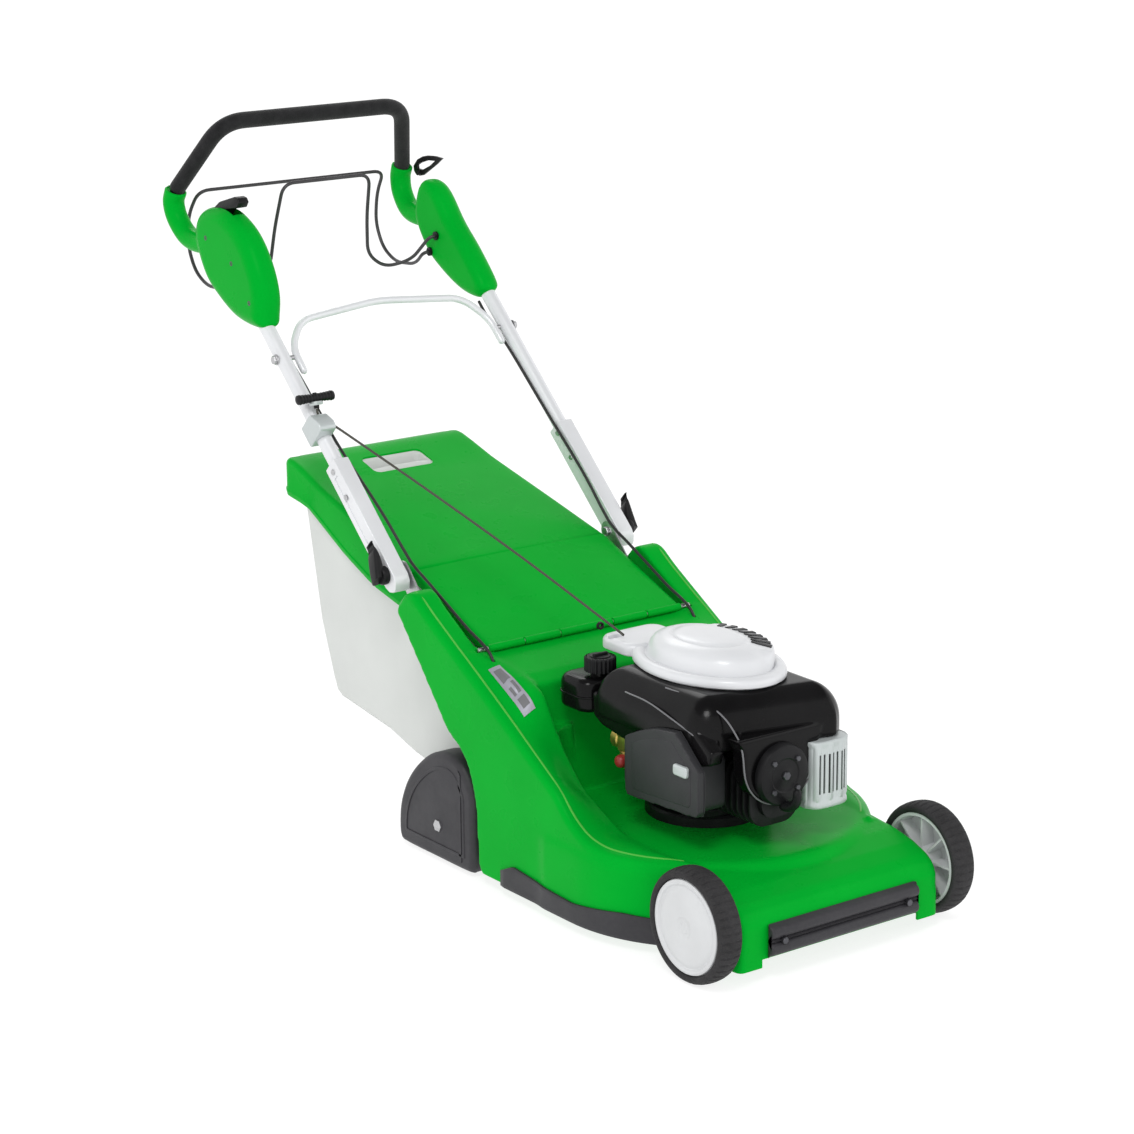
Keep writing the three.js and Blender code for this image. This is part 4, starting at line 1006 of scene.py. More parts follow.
def add_muffler():
    finish(pillow("muffler_can", "z", rounded_box(62, 94, 60, 78, 14, 8), 196, 286, 7, 7), "root",
           DARK_STEEL, replaces="muffler")
    seam = pillow("muffler_seam", "z", rounded_box(62, 94, 63, 81, 15, 8), 240, 242.5)
    finish(seam, "root", DARK_STEEL)
    path = [(24.5, 124), (24.5, 60), (26.5, 48), (32, 40), (42, 35.5), (62, 34), (82, 35.5),
            (92, 40), (97.5, 48), (99.5, 60), (99.5, 124)]
    line = evenly(smooth_line(path, 12), 260)
    normal = np.gradient(line, axis=0)[:, ::-1] * (1, -1)
    normal /= np.linalg.norm(normal, axis=1)[:, None]
    wave = 1.6 * np.maximum(np.sin(np.linspace(0, 1, len(line)) * math.pi * 22), -0.35)
    rows = []
    for z in (190, 192, 196, 200, 204, 279, 283, 287, 290, 291):
        share = 1.0 if 200 < z < 284 else 0.0
        lip = 1.2 if z in (192, 196, 287, 290) else 0.0
        rows.append([(x, y, z) for x, y in line + normal * (wave * share + lip)[:, None]])
    guard = sheet("guard_shell", rows, 1.8)
    slots = [prism("slot", "z", rounded_box(38.5 + i * 8, 34, 3.4, 16, 1.2, 3), 212, 272)
             for i in range(7)]
    carve(guard, join("slots", *slots), solver="EXACT")
    top = pillow("guard_top", "z", rounded_box(62, 80, 75, 90, 15, 8), 288, 291.2, high=1, steps=3)
    finish(join("guard", guard, top), "root", GUARD, replaces="muffler_guard")


HEAD = (-28, 256)
FILLER = (-100, 379)


def add_cylinder():
    fins = []
    for i in range(7):
        y = 60 + i * 14
        fins.append(pillow("fin", "y", rounded_box(-26, 222, 92, 96, 30, 8), y, y + 4.4, 1, 1, 2))
    barrel = prism("barrel", "y", rounded_box(-26, 222, 66, 66, 24, 8), 50, 164)
    finish(join("cylinder_fins", barrel, *fins), "root", BLACK_CAST, replaces="engine_cylinder")
    cover = disc("head_cover", "y", [(0, 34), (10, 34), (12, 35), (24, 35), (26, 33.6), (38, 33.6),
                                     (44, 35.5), (46.5, 40), (47, 58), (0, 58)], *HEAD, 96)
    finish(cover, "root", BLACK, angle=30)
    bolts = [hexagon("bolt", "y", x, z, 4.6, 34.5, 30.4) for x, z in arc(*HEAD, 31, 45, 315, 3)]
    bolts.append(hexagon("bolt", "y", *HEAD, 7, 35, 29.5))
    finish(join("head_bolts", *bolts), "root", DARK_STEEL)
    path = [(-26, 38, 208), (-26, 24, 211), (-26.5, 14, 218), (-27, 9, 228), (-28, 8, 236)]
    line = smooth_line(path, 5)
    boot = tube("spark_boot", line, np.linspace(8, 6.2, len(line)), 20, dome=True)
    finish(boot, "root", BLACK)


def add_tank():
    body = pillow("tank_body", "z", rounded_box(-98, 396, 93, 79, 26, 10), 286, 338, 9, 14, 8)
    seam = pillow("seam", "z", rounded_box(-98, 396, 96, 82, 27, 10), 309, 312, 1, 1, 2)
    neck = turned("neck", "z", [(11.5, 326), (15, 326), (15, 344), (11.5, 344)], *FILLER, 48)
    carve(body, bar("hole", "z", *FILLER, 12, 300, 360, 1, 48))
    finish(join("tank_shell", body, seam, neck), "root", BLACK_GLOSS, replaces="fuel_tank")
    lobes = 22
    outline = []
    for i in range(lobes * 6):
        angle = 2 * math.pi * i / (lobes * 6)
        radius = 23.6 + 0.9 * min(1, max(-1, 2.2 * math.sin(angle * lobes)))
        outline.append((FILLER[0] + radius * math.cos(angle), FILLER[1] + radius * math.sin(angle)))
    cap = pillow("cap", "z", outline, 344.6, 366.5, low=0.8, high=2.6, steps=4)
    top = disc("top", "z", [(0, 362), (16, 362), (16, 367.2), (15, 368), (0, 368)], *FILLER, 40)
    grip = pillow("grip", "z", rounded_box(*FILLER, 27, 6, 2.5, 4), 366, 372, high=1.6, steps=3)
    finish(join("fuel_cap_knob", cap, top, grip), "fuel_cap", BLACK, replaces="fuel_cap")


def add_carburettor():
    bowl = disc("bowl", "z", [(0, 210), (11, 210), (16, 213), (17, 217), (17, 232), (18.5, 233),
                              (18.5, 237), (15, 240), (0, 240)], -100, 302, 48)
    throat = turned("throat", "y", [(10.5, 272), (15, 272), (15, 276), (13, 278), (13, 300),
                                    (15.5, 302), (15.5, 318), (17, 320), (17, 333), (10.5, 333)],
                    -100, 252, 48)
    block = pillow("block", "z", rounded_box(-100, 303, 34, 30, 5, 4), 238, 262, 2, 2, 3)
    lever = pillow("lever", "x", [(296, 262), (310, 262), (318, 276), (312, 281), (300, 270)],
                   -121, -118, 1, 1, 2)
    finish(join("carburettor_body", bowl, throat, block, lever), "root", BRASS,
           replaces="carburettor")
    primer = disc("primer_bulb", "x", [(0, -131), (5, -130.4), (8.5, -128), (10, -124), (10, -112),
                                       (0, -112)], 300, 226, 40)
    finish(primer, "root", RED)


def add_crankcase():
    case = pillow("case", "z", rounded_box(0, CRANK_Y - 5, 146, 156, 30, 8), 157, 238, 4, 10, 5)
    ribs = [pillow("rib", "z", rounded_box(0, CRANK_Y - 5, 150, 160, 32, 8), z, z + 3, 1, 1, 2)
            for z in range(168, 232, 9)]
    flange = disc("flange", "z", [(0, 140.6), (92, 140.6), (92, 154), (89, 157.5), (0, 157.5)],
                  0, CRANK_Y, 96)
    spigot = bar("spigot", "z", 0, CRANK_Y, 59, 113, 141, 1, 64)
    neck = bar("neck", "z", 0, CRANK_Y, 36, 236, 285, 2, 48)
    oil = tube("oil", [(58, 195, 200), (75, 183.5, 224), (92, 172, 248)], [14, 13, 13], 28)
    bolts = [hexagon("bolt", "z", x, y, 6.5, 156, 163) for x, y in arc(0, CRANK_Y, 82, 30, 330, 5)]
    for part in (case, neck):
        carve(part, bar("bore", "z", 0, CRANK_Y, 12.5, 100, 300, 0.1, 40))
    finish(join("crankcase", flange, spigot, case, neck, oil, *ribs, *bolts), "root", BLACK_CAST,
           replaces="engine_block")


def dress(node, material, width=0.8, angle=30):
    """Keeps a CAD piece, with softened edges and a proper finish."""
    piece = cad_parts[node]
    modify(piece, "WELD", merge_threshold=1e-5)
    modify(piece, "BEVEL", width=width * MM, segments=2, limit_method="ANGLE",
           angle_limit=math.radians(angle))
    modify(piece, "WEIGHTED_NORMAL", keep_sharp=True)
    for polygon in piece.data.polygons:
        polygon.use_smooth = True
    piece.data.materials.clear()
    piece.data.materials.append(material)


def add_drive():
    for node, material in (
        ("crankshaft", ZINC), ("flywheel", CAST), ("recoil_pulley", DARK), ("blade_carrier", CAST),
        ("blade", DARK_STEEL), ("gearbox", CAST), ("gearbox_pulley", DARK_STEEL),
        ("drive_belt", BELT), ("oil_cap", BLACK), ("front_axle", ZINC), ("roller_frame", ZINC),
    ):
        dress(node, material, 0.5 if node in ("drive_belt", "recoil_pulley", "blade") else 0.8)


# ---------------------------------------------------------------- wheels and roller
def add_wheel(name, sign):
    centre = sign * WHEEL_X
    profile = [(71, -17.5), (72.5, -19.5), (75, -20.7), (78, -20.4), (80.5, -18.8), (82.6, -15.6),
               (84, -11), (84.8, -5), (85, 0), (84.8, 5), (84, 11), (82.6, 15.6), (80.5, 18.8),
               (78, 20.4), (75, 20.7), (72.5, 19.5), (71, 17.5)]
    grooves, per = 44, 8
    rings = []
    for i in range(grooves * per):
        angle = 2 * math.pi * i / (grooves * per)
        deep = 1.5 if i % per < 2 else 0.0
        ring = []
        for radius, h in profile:
            r = radius - (deep if radius > 81 and abs(h) > 4 else 0.0)
            ring.append((centre + h, r * math.cos(angle), WHEEL_R + r * math.sin(angle)))
        rings.append(ring)
    tyre = loft(f"tyre_tread_{name}", rings, looped=True)
    finish(tyre, f"wheel_{name}", TYRE, replaces=f"tyre_{name}", angle=40)
    face = [(0, 22.0), (7, 21.9), (9, 20.6), (14, 20.5), (16, 21.6), (34, 21.0), (52, 19.0),
            (57, 17.8), (59, 16.4), (61, 16.6), (63, 18.6), (66, 19.4), (69, 18.4), (70.4, 15),
            (70.4, -17), (66, -17.5), (64, -14), (63.5, 8), (20, 12), (18, -19), (6.4, -19),
            (6.4, 16), (0, 16)]
    hub = disc("hub", "x", [(r, centre + sign * h) for r, h in face], 0, WHEEL_R, 96)
    spokes = []
    for angle in np.radians(range(0, 360, 45)):
        out = np.array([math.cos(angle), math.sin(angle)])
        across = np.array([-out[1], out[0]]) * 1.6
        corners = [(0, WHEEL_R) + out * reach + across * side
                   for reach, side in ((66, 1), (66, -1), (16, -1), (16, 1))]
        spokes.append(prism("spoke", "x", corners, *sorted((centre - sign * 13, centre + sign * 12))))
    finish(join(f"hub_disc_{name}", hub, *spokes), f"wheel_{name}", HUB, replaces=f"hub_{name}",
           angle=30)


def add_wheels():
    for name, sign in SIDES:
        add_wheel(name, sign)


def add_rollers():
    for name, sign in SIDES:
        outline = [(8.6, 84), (55, 84), (56, 3), (61, 1)]
        for i in range(19):
            h = 4 + i * 10
            outline += [(62.5, h), (62.5, h + 7), (60.8, h + 7.8), (60.8, h + 9.2)]
        outline += [(62.2, 192), (56, 192), (56, 96), (8.6, 96)]
        drum = turned(f"roller_drum_{name}", "x", [(r, sign * h) for r, h in outline], *ROLLER_AXLE, 80)
        finish(drum, f"roller_{name}", ROLLER, replaces=f"roller_{name}",
               angle=30)


def add_roller_covers():
    dome = [(516, 26), (516, 80), (516, 124), (521, 142), (534, 162), (552, 178), (570, 185),
            (588, 186), (608, 183), (630, 175), (650, 163), (670, 147), (687, 130), (702, 110),
            (713, 89), (720, 70), (723.5, 50), (724, 26), (720, 13), (708, 6.5), (620, 6),
            (534, 6.5), (521, 12)]
    middle = (620, 78)
    outline = smooth_outline(dome[::-1], 4)
    moved = shrinkable(outline, middle)
    for name, sign in SIDES:

        def slab(by, inner, outer):
            return prism("slab", "x", moved(by), *sorted((sign * inner, sign * outer)))

        outer_rim = "low" if sign < 0 else "high"
        shell = pillow("cover", "x", outline, *span(sign, 206.4, 243.8), centre=middle,
                       **{outer_rim: 11})
        carve(shell, slab(4.5, 200, 231), slab(8, 200, 236), slab(14, 200, 239.6))
        carve(shell, prism("gate", "x", [(523, -5), (717, -5), (717, 12), (523, 12)],
                           *span(sign, 200, 232)))
        rib = pillow("rib", "x", moved(22), *span(sign, 240, 245), steps=3, centre=middle,
                     **{outer_rim: 1.6})
        carve(rib, slab(27, 236, 250))
        band = pillow("band", "x", [(546, 20), (552, 20), (552, 168), (546, 162)],
                      *span(sign, 240, 245), steps=3)
        boss = turned("boss", "x", [(8.8, sign * 209), (15, sign * 209), (15, sign * 241),
                                    (8.8, sign * 241)], *ROLLER_AXLE, 40)
        nut = hexagon(f"roller_nut_{name}", "x", *ROLLER_AXLE, 10, sign * 241, sign * 247)
        finish(join(f"roller_hood_{name}", shell, boss, rib, band), "roller_unit", DARK,
               replaces=f"roller_cover_{name}")
        finish(nut, "roller_unit", ZINC)


def add_height_lever():
    y, z, x = 440, 190, HORN_OUT
    blade = pillow("blade", "x", [(y + 12, z - 8), (y + 14, z + 2), (y + 62, z + 104),
                                  (y + 44, z + 110), (y - 13, z + 2), (y - 12, z - 8)],
                   x + 0.5, x + 4.5, 1, 1, 3)
    boss = disc("boss", "x", [(0, x + 0.5), (14, x + 0.5), (14, x + 5), (12, x + 7), (0, x + 7)],
                y, z, 48)
    knob = disc("knob", "x", [(0, x + 3), (11, x + 3), (14, x + 5), (14, x + 10), (11, x + 12.7),
                              (5, x + 12.2), (0, x + 12)], y + 53, z + 104, 48)
    finish(join("height_lever_arm", blade, boss, knob), "height_lever", BLACK,
           replaces="height_lever")


# ---------------------------------------------------------------- grass box
LID_TOP = [(740, 431), (750, 434), (872, 467), (1043, 512), (1100, 531), (1125, 539), (1144, 541),
           (1156, 537), (1166, 528)]
LID_LOW = [(740, 360), (752, 362), (791, 368), (871, 383), (959, 415), (1078, 470), (1150, 478),
           (1166, 482)]


LID_FRONT, LID_REAR = 748, 1166
LID_FRONT_HALF, LID_REAR_HALF = 190, 172
LID_CORNER, LID_FILLET = 30, 9
HANDLE_HOLE = (0, 1072)
BOX_FRONT, BOX_REAR, BOX_NARROWS = 566, 1100, 12


def lid_half_width(y):
    share = (y - LID_FRONT) / (LID_REAR - LID_FRONT)
    return LID_FRONT_HALF + (LID_REAR_HALF - LID_FRONT_HALF) * share


def lid_plan(by=0.0):
    """The lid seen from above: square at the flap, round at the rear corners."""
    front = LID_FRONT + 1.5
    half = [(lid_half_width(front) - by, front + by)]
    half += [(lid_half_width(y) - by, y) for y in np.linspace(780, LID_REAR - LID_CORNER - 10, 14)]
    turn_y = LID_REAR - LID_CORNER
    half += arc(lid_half_width(turn_y) - LID_CORNER, turn_y, LID_CORNER - by, 2, 90, 12)
    return [*half, *[(-x, y) for x, y in half[::-1]]]


def add_box_lid():
    top, low = eased(LID_TOP, 9), eased(LID_LOW, 9)

    def crown(x, y):
        return 3.2 * (1 - (x / LID_FRONT_HALF) ** 2) * min(1, max(0, (1175 - y) / 120))

    rings = [[(x, y, low(y) + lift) for x, y in lid_plan(by)]
             for by, lift in ((0, 0), (-1.6, 7), (-1.6, 9), (0, 11))]
    for i in range(7):
        angle = math.pi / 2 * i / 6
        by, drop = LID_FILLET * (1 - math.cos(angle)), LID_FILLET * (1 - math.sin(angle))
        rings.append([(x, y, top(y) - drop) for x, y in lid_plan(by)])
    edge = np.array(lid_plan(LID_FILLET))
    for share in np.linspace(0.94, 0.0, 16):
        ring = []
        for x, y in edge:
            spine = np.clip(y, 900, 1010)
            px, py = x * share, spine + (y - spine) * share
            ring.append((px, py, top(py) + crown(px, py)))
        rings.append(ring)
    lid = thicken(loft("lid_shell", rings, caps=False), 3, -1)
    front = prism("front", "x", [(735, 350), (758, 350), (758, 427), (735, 421)], -186, 186)
    grip = prism("grip", "z", rounded_box(*HANDLE_HOLE, 118, 52, 12, 8), 480, 570)
    carve(lid, front, grip, solver="EXACT")
    finish(lid, "grass_box", GREEN, replaces="box_lid", angle=40)


def add_box_handle():
    """A tray let into the lid, with a bar across it, both leaning with the lid."""
    tilt = math.radians(15)
    floor = 516

    def lean(piece):
        for vert in piece.data.vertices:
            along = vert.co.y - frame_point(*HANDLE_HOLE, 0).y
            vert.co.z += math.tan(tilt) * along
        return piece

    rings = []
    for by, z in [(0, floor + 3.6), (1, floor + 5.2), (3, floor + 5.6), (5, floor + 4.8),
                  (6.5, floor + 2), (8, floor - 12), (11, floor - 17), (14, floor - 18.5),
                  (18, floor - 19)]:
        plan = rounded_box(*HANDLE_HOLE, 125 - 2 * by, 59 - 2 * by, 15 - by * 0.6, 8)
        rings.append([(x, y, z) for x, y in plan])
    tray = loft("tray", rings, caps=False)
    with editing(tray.data) as bm:
        open_edges = [e for e in bm.edges if e.is_boundary]
        lowest = [e for e in open_edges if e.verts[0].co.z < (floor - 10) * MM]
        bmesh.ops.contextual_create(bm, geom=lowest)
    thicken(tray, 2.4, -1)
    grip_path = [(-56, 1058, floor - 2), (-36, 1057, floor), (0, 1056.5, floor + 0.8),
                 (36, 1057, floor), (56, 1058, floor - 2)]
    bar_piece = tube("bar", smooth_line(grip_path, 6), 8, 20)
    finish(lean(join("lid_handle", tray, bar_piece)), "grass_box", BOX_GREY,
           replaces="box_handle")


def add_box_body():
    outline = [(BOX_FRONT, 344), (BOX_FRONT, 196), (640, 139), (700, 120), (732, 114), (780, 122), (853, 141),
               (1000, 159), (1014, 166), (1026, 190), (1060, 280), (1098, 462), (1096, 474),
               (1070, 506), (872, 455), (760, 423)]
    dense = anticlockwise(dense_outline(outline, 8))

    def tapered(piece, half):
        for vert in piece.data.vertices:
            y = (vert.co.y - AXLE_Y) / MM
            narrower = BOX_NARROWS * (y - BOX_FRONT) / (BOX_REAR - BOX_FRONT)
            vert.co.x *= (half - narrower) / half
        return piece

    shell = tapered(pillow("box_shell", "x", dense, -181.5, 181.5, 14, 14, 6), 181.5)
    wide = [(540, 350), (540, 202), (643, 142.5), (702, 123.5), (732, 117.5), (779, 125.5),
            (852, 144.5), (998, 162.5), (1009, 168), (1022, 190), (1057, 282), (1093, 460),
            (1120, 600), (700, 600), (540, 420)]
    room = tapered(pillow("room", "x", anticlockwise(wide), -178.3, 178.3, 0, 0), 178.3)
    carve(shell, room)
    finish(shell, "grass_box", BOX_GREY, replaces="box_body", angle=40)


# ---------------------------------------------------------------- handle
def in_side_view(along, across):
    return tuple(on_tube(0, along, across)[1:])


def add_arms():
    for name, sign in SIDES:
        corners = [(215, 15), (213, 17), (-14, 17), (-25, 13), (-31, 5), (-33, 0), (-31, -5),
                   (-25, -13), (-14, -17), (213, -17), (215, -15)]
        outline = anticlockwise([in_side_view(a, c) for a, c in corners])
        arm = prism(f"handle_side_{name}", "x", outline, *span(sign, 207.2, 234.8))
        bevel(arm, 4.5, 4, 40)
        seat = tube("seat", [on_tube(sign * HANDLE_X, a) for a in (190, 205, 225)], 12.9, 40)
        carve(arm, seat)
        groove = prism("groove", "x", [in_side_view(a, c) for a, c in
                                       ((50, 6), (50, -6), (190, -6), (190, 6))],
                       *span(sign, 233.4, 240))
        carve(arm, groove)
        rivets = []
        for along in (150, 200):
            _, y, z = on_tube(0, along)
            for depths in ((234.2, 237), (207.8, 205.4)):
                rivets.append(bar("rivet", "x", y, z, 5, *span(sign, *depths), 1.2, 28))
        finish(arm, "handle", POWDER, replaces=f"handle_arm_{name}")
        finish(join(f"arm_rivets_{name}", *rivets), "handle", ZINC)
        pole = tube(f"handle_pole_{name}", [on_tube(sign * HANDLE_X, a)
                                            for a in np.linspace(130, 571, 8)], 12.5, 40)
        finish(pole, "handle", POWDER, replaces=f"handle_tube_{name}")


def add_clamps():
    for name, sign in SIDES:
        y, z = FOLD[1], FOLD[2]
        outer = sign * (HANDLE_X + 14.5)
        bolt = bar("bolt", "x", y, z, 5, *span(sign, 198, 238), 1, 28)
        head = disc("head", "x", [(r, outer + sign * h) for r, h in
                                  ((0, 0), (14.5, 0), (15, 2), (15, 8), (13, 11), (0, 11))],
                    y, z, 40)
        stations = []
        for t in np.linspace(0, 1, 18):
            along, across = -6 + 54 * t, -4 + 24 * t ** 1.3
            half = 13 - 3 * t + 4 * math.sin(math.pi * t)
            thick = (8.5 - 3.5 * t) * math.sin(math.pi * min(1, 0.25 + t * 0.95)) ** 0.3 \
                if t < 0.97 else 2.2
            centre = np.array([sign * (HANDLE_X + 29 - 3 * math.sin(math.pi * t)), 0, 0])
            ring = []
            for a, b in rounded_box(0, 0, 2 * half, 2 * thick, min(half, thick) * 0.9, 5):
                ring.append(FOLD + centre + ALONG * along + ACROSS * (across + a) + (sign * b, 0, 0))
            stations.append(ring)
        wing = loft("wing", stations)
        nut = hexagon("nut", "x", y, z, 8, sign * 199, sign * 194.5)
        finish(join(f"clamp_wing_{name}", head, wing), f"clamp_lever_{name}", BLACK,
               replaces=f"clamp_lever_{name}")
        finish(join(f"clamp_bolt_{name}", bolt, nut), f"clamp_lever_{name}", ZINC)


def add_crossbar():
    _, y, z = on_tube(0, 426)
    bend = [(-196, y - 22, z - 19), (-195, y + 12, z + 14), (-160, 1108, 776), (0, 1124, 788),
            (160, 1108, 776), (195, y + 12, z + 14), (196, y - 22, z - 19)]
    rail = tube("cross_rail", rounded_line(bend, 30, 12), 6, 24, dome=True)
    finish(rail, "handle", POWDER, replaces="crossbar")
    bolts = []
    for sign in (-1, 1):
        bolts.append(bar("bolt", "x", y, z, 4, *span(sign, 192, 238), 0.6, 24))
        bolts.append(hexagon("nut", "x", y, z, 7.5, sign * 234, sign * 240.5))
        bolts.append(bar("washer", "x", y, z, 9, *span(sign, 233.4, 235), 0.4, 32))
    finish(join("rail_bolts", *bolts), "handle", ZINC)


GRIP_LINE = [(-229, 1388, 948), (-227, 1381, 965), (-178, 1304, 1082), (178, 1304, 1082),
             (227, 1381, 965), (229, 1388, 948)]
POD_RIGHT = [(1108, 770), (1096, 792), (1094, 828), (1108, 868), (1136, 908), (1172, 936),
             (1220, 953), (1275, 947), (1300, 924), (1302, 886), (1274, 834), (1232, 802),
             (1176, 776)]
POD_LEFT = [(1112, 776), (1107, 796), (1156, 850), (1202, 892), (1236, 932), (1260, 950),
            (1284, 952), (1302, 930), (1308, 884), (1274, 832), (1232, 802), (1176, 776),
            (1130, 768)]
POD_ARM = [(-218, 1240, 908), (-222, 1256, 904), (-222, 1304, 886), (-223, 1350, 890),
           (-226, 1380, 916), (-228, 1389, 944), (-227, 1381, 965)]


def console_pod(corners):
    outline = anticlockwise(smooth_outline(corners, 8))
    pod = pillow("pod", "x", outline, -246, -198, 24, 16, 9, centre=(1205, 868))
    path = smooth_line(POD_ARM, 8)
    radii = np.interp(np.linspace(0, 1, len(path)), (0, 0.3, 0.6, 0.9, 1), (15, 18, 18, 18.4, 19))
    pod = melt(join("console", pod, tube("neck", path, radii, 28)), 2.0, 7)
    end = np.array(POD_ARM[-1])
    heading = end - np.array([-209, 1352, 1009])
    heading = heading / np.linalg.norm(heading)
    socket = tube("socket", [end - heading * 40, end, end + heading * 6], 15, 32)
    return carve(pod, socket)


def add_consoles():
    for name, sign, corners, places in (
        ("right", -1, POD_RIGHT, ((1124, 812), (1176, 870), (1256, 902))),
        ("left", 1, POD_LEFT, ((1138, 800), (1200, 850), (1262, 906))),
    ):
        shell = console_pod(corners)
        if sign > 0:
            mirrored(shell)
        else:
            carve(shell, prism("slot", "x", rounded_box(1229, 955, 72, 44, 4), -228.5, -205.5))
        finish(shell, "handle", GREEN, replaces=f"console_{name}")
        shell.name = f"console_pod_{name}"
        screws = []
        for y, z in places:
            x = sign * 244.6
            screws.append(disc("screw", "x", [(r, x + sign * h) for r, h in
                                              ((0, 0), (4.4, 0), (5, 0.6), (4, 1.6), (1.6, 1.8),
                                               (1.4, 0.8), (0, 0.8))], y, z, 28))
        finish(join(f"console_screws_{name}", *screws), "handle", DARK_STEEL)


def add_grip():
    path = rounded_line(GRIP_LINE, 42, 16)
    core = tube("grip_core", path, 9.5, 24, dome=True)
    finish(core, "handle", BLACK_CAST, replaces="grip_bar")
    fine = evenly(rounded_line(GRIP_LINE[1:-1], 42, 18), 160)
    radii = np.full(len(fine), 13.7)
    radii[:2], radii[-2:] = (12.2, 13.5), (13.5, 12.2)
    sleeve = tube("grip_sleeve", fine, radii, 32)
    finish(sleeve, "handle", FOAM, replaces="grip_foam")


def add_bail(node, half):
    """A bail wire, from the points of its right half, and the bushes that it turns in."""
    wire = tube(f"{node}_wire", rounded_line([*half, *[(-x, y, z) for x, y, z in half[::-1]]], 22, 8),
                3, 14, dome=True)
    finish(wire, node, WIRE, replaces=node)
    bushes = []
    for sign in (-1, 1):
        low, high = span(sign, 198.6, 194.5)
        bushes.append(turned("bush", "x", [(3.3, low), (7.5, low), (7.5, high), (3.3, high)],
                             *half[0][1:], 32))
    finish(join(f"{node}_wire_bushes", *bushes), "handle", BLACK)


def add_bails():
    add_bail("stop_bail", [(-212, 1255, 832), (-184, 1255, 832), (-190, 1291, 806),
                           (-190, 1352, 802), (-190, 1392, 822), (-190, 1414, 864),
                           (-190, 1408, 916), (-186, 1378, 960)])
    add_bail("drive_bail", [(-212, 1235, 862), (-184, 1235, 862), (-176, 1282, 816),
                            (-132, 1300, 806), (-98, 1300, 832), (-92, 1290, 900),
                            (-86, 1268, 975)])


def add_levers():
    wedge = [(1252, 938), (1258, 944), (1256, 952), (1240, 962), (1192, 975.5), (1182, 974),
             (1177, 967), (1184, 958), (1216, 952), (1234, 938)]
    lever = bevel(prism("speed_lever_knob", "x", anticlockwise(wedge), -227, -207), 1.8, 3, 25)
    finish(lever, "speed_lever", BLACK, replaces="speed_lever")
    leaf = [(1368, 950), (1373, 955), (1374, 964), (1362, 976), (1345, 983), (1330, 986),
            (1306, 987.5), (1284, 986), (1300, 975), (1312, 968), (1344, 950), (1356, 947.5)]
    hole = [(1361, 960), (1362, 966), (1352, 971), (1328, 978), (1306, 979), (1322, 969),
            (1346, 959)]
    plate = pillow("throttle", "x", anticlockwise(leaf), 245.6, 250.4, 1.4, 1.4, 3)
    carve(plate, prism("hole", "x", anticlockwise(hole), 240, 256))
    pin = bar("pin", "x", 1352, 953.5, 4, 238, 252.5, 1, 24)
    finish(join("throttle_loop", plate, pin), "throttle_lever", BLACK, replaces="throttle_lever")


def add_rope_guide():
    corners = [(262, -17), (262, 28), (266, 32), (276, 33), (296, 24), (300, 18), (300, -17)]
    outline = anticlockwise([in_side_view(a, c) for a, c in corners])
    block = prism("block", "x", outline, -241, -209.8)
    bevel(block, 4, 4, 30)
    seat = tube("seat", [STARTER_SEAT + PULL * a for a in (-30, -12, 10)], [6, 6, 9], 28)
    carve(block, seat)
    bore = tube("bore", [on_tube(-HANDLE_X, a) for a in (240, 280, 320)], 12.7, 40)
    carve(block, bore)
    ring = turned("ring", "z", [(7, -3), (10, -3), (11.5, 0), (10, 3), (7, 3)], 0, 0, 40)
    turn = Vector((0, 0, 1)).rotation_difference(Vector(PULL))
    place = frame_point(*(STARTER_SEAT - 9 * PULL))
    for vert in ring.data.vertices:
        local = vert.co - Vector((0, AXLE_Y, 0))
        vert.co = turn @ local + place
    clamp = tube("guide_clamp", [on_tube(-HANDLE_X, a) for a in (266, 272)], 14.6, 40)
    finish(join("guide_block", block, ring), "handle", GUARD, replaces="rope_guide")
    finish(clamp, "handle", ZINC)


def add_starter_handle():
    x, y, z = STARTER_SEAT
    rings = []
    for h in np.linspace(-34, 34, 41):
        t = abs(h) / 34
        radius = 6.6 + 1.7 * t ** 2 + 0.45 * math.cos(h * 1.1)
        if t > 0.93:
            radius *= math.sqrt(max(0.08, 1 - ((t - 0.93) / 0.075) ** 2))
        rings.append([(x + h, y + radius * math.cos(a) * 1.1, z + radius * math.sin(a))
                      for a in np.linspace(0, 2 * math.pi, 28, endpoint=False)])
    grip = loft("grip", rings)
    stem = tube("stem", [STARTER_SEAT + PULL * a for a in (0, -6, -12, -17.5)], [7.2, 5.6, 4.8, 4.2],
                24)
    knot = tube("knot", [STARTER_SEAT + PULL * a for a in (5, 8.4)], [4.2, 3.2], 20)
    finish(join("starter_grip", grip, stem, knot), "starter_handle", BLACK,
           replaces="starter_handle")


for add in (
    add_ropes, add_cables, add_deck, add_label, add_ridge_highlights, add_trim, add_skirts, add_flap,
    add_brackets, add_blower_housing, add_engine_cap, add_air_filter, add_muffler, add_cylinder,
    add_tank, add_carburettor, add_crankcase, add_drive, add_wheels, add_rollers,
    add_roller_covers, add_height_lever, add_box_lid, add_box_handle, add_box_body, add_arms,
    add_clamps, add_crossbar, add_consoles, add_grip, add_bails, add_levers, add_rope_guide,
    add_starter_handle,
):
    add()


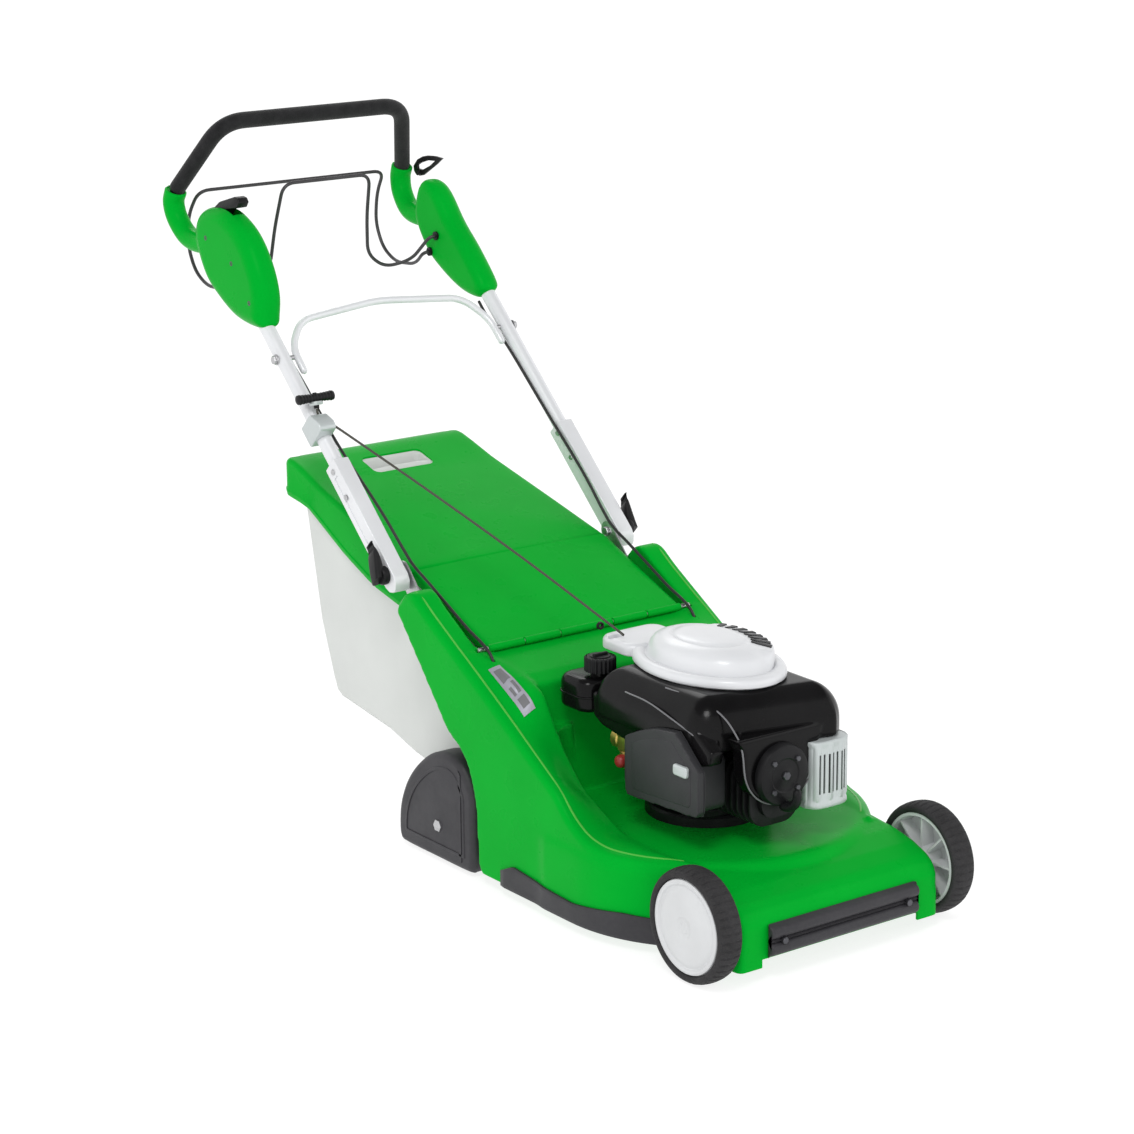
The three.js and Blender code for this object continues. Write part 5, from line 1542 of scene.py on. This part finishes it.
def add_stage():
    """A pale bowl: a flat floor that sweeps up to a round wall."""
    profile = [(0.0, 0.0), (3.0, 0.0), (6.0, 0.0)]
    profile += [(6 + 3 * math.sin(a), 3 - 3 * math.cos(a)) for a in np.radians(range(10, 91, 10))]
    profile += [(9.0, 6.0), (9.0, 9.0)]
    count = 72
    points, faces = [], []
    for i in range(count):
        angle = 2 * math.pi * i / count
        points += [(r * math.cos(angle), r * math.sin(angle), h) for r, h in profile[1:]]
    points.append((0, 0, 0))
    size = len(profile) - 1
    for i in range(count):
        k = (i + 1) % count
        faces.append((len(points) - 1, i * size, k * size))
        faces += [(i * size + j, i * size + j + 1, k * size + j + 1, k * size + j)
                  for j in range(size - 1)]
    mesh = bpy.data.meshes.new("floor")
    mesh.from_pydata(points, [], faces)
    mesh.shade_smooth()
    floor = link("floor", mesh)
    material = bpy.data.materials.new("floor_white")
    material.use_nodes = True
    wired(material.node_tree.nodes["Principled BSDF"], Base_Color=(0.3, 0.3, 0.3, 1),
          Roughness=0.95, Specular_IOR_Level=0.0, Emission_Color=(1, 1, 1, 1),
          Emission_Strength=0.82)
    mesh.materials.append(material)
    world = bpy.data.worlds.new("studio")
    world.use_nodes = True
    wired(world.node_tree.nodes["Background"], Color=(1, 1, 1, 1), Strength=0.35)
    bpy.context.scene.world = world
    bpy.context.scene.view_settings.view_transform = "Standard"
    for name, place, aim, size, power in (
        ("key", (-2.6, -2.4, 4.8), (0, 0, 0.4), 1.8, 95),
        ("fill", (3.5, -3.5, 2.5), (0, 0, 0.4), 3.0, 12),
        ("rim", (1.5, 4.0, 4.0), (0, 0, 0.5), 2.5, 40),
    ):
        data = bpy.data.lights.new(name, "AREA")
        data.shape, data.size, data.energy = "DISK", size, power
        lamp = bpy.data.objects.new(name, data)
        lamp.location = place
        lamp.rotation_mode = "QUATERNION"
        lamp.rotation_quaternion = (Vector(aim) - Vector(place)).to_track_quat("-Z", "Y")
        bpy.context.scene.collection.objects.link(lamp)


add_stage()
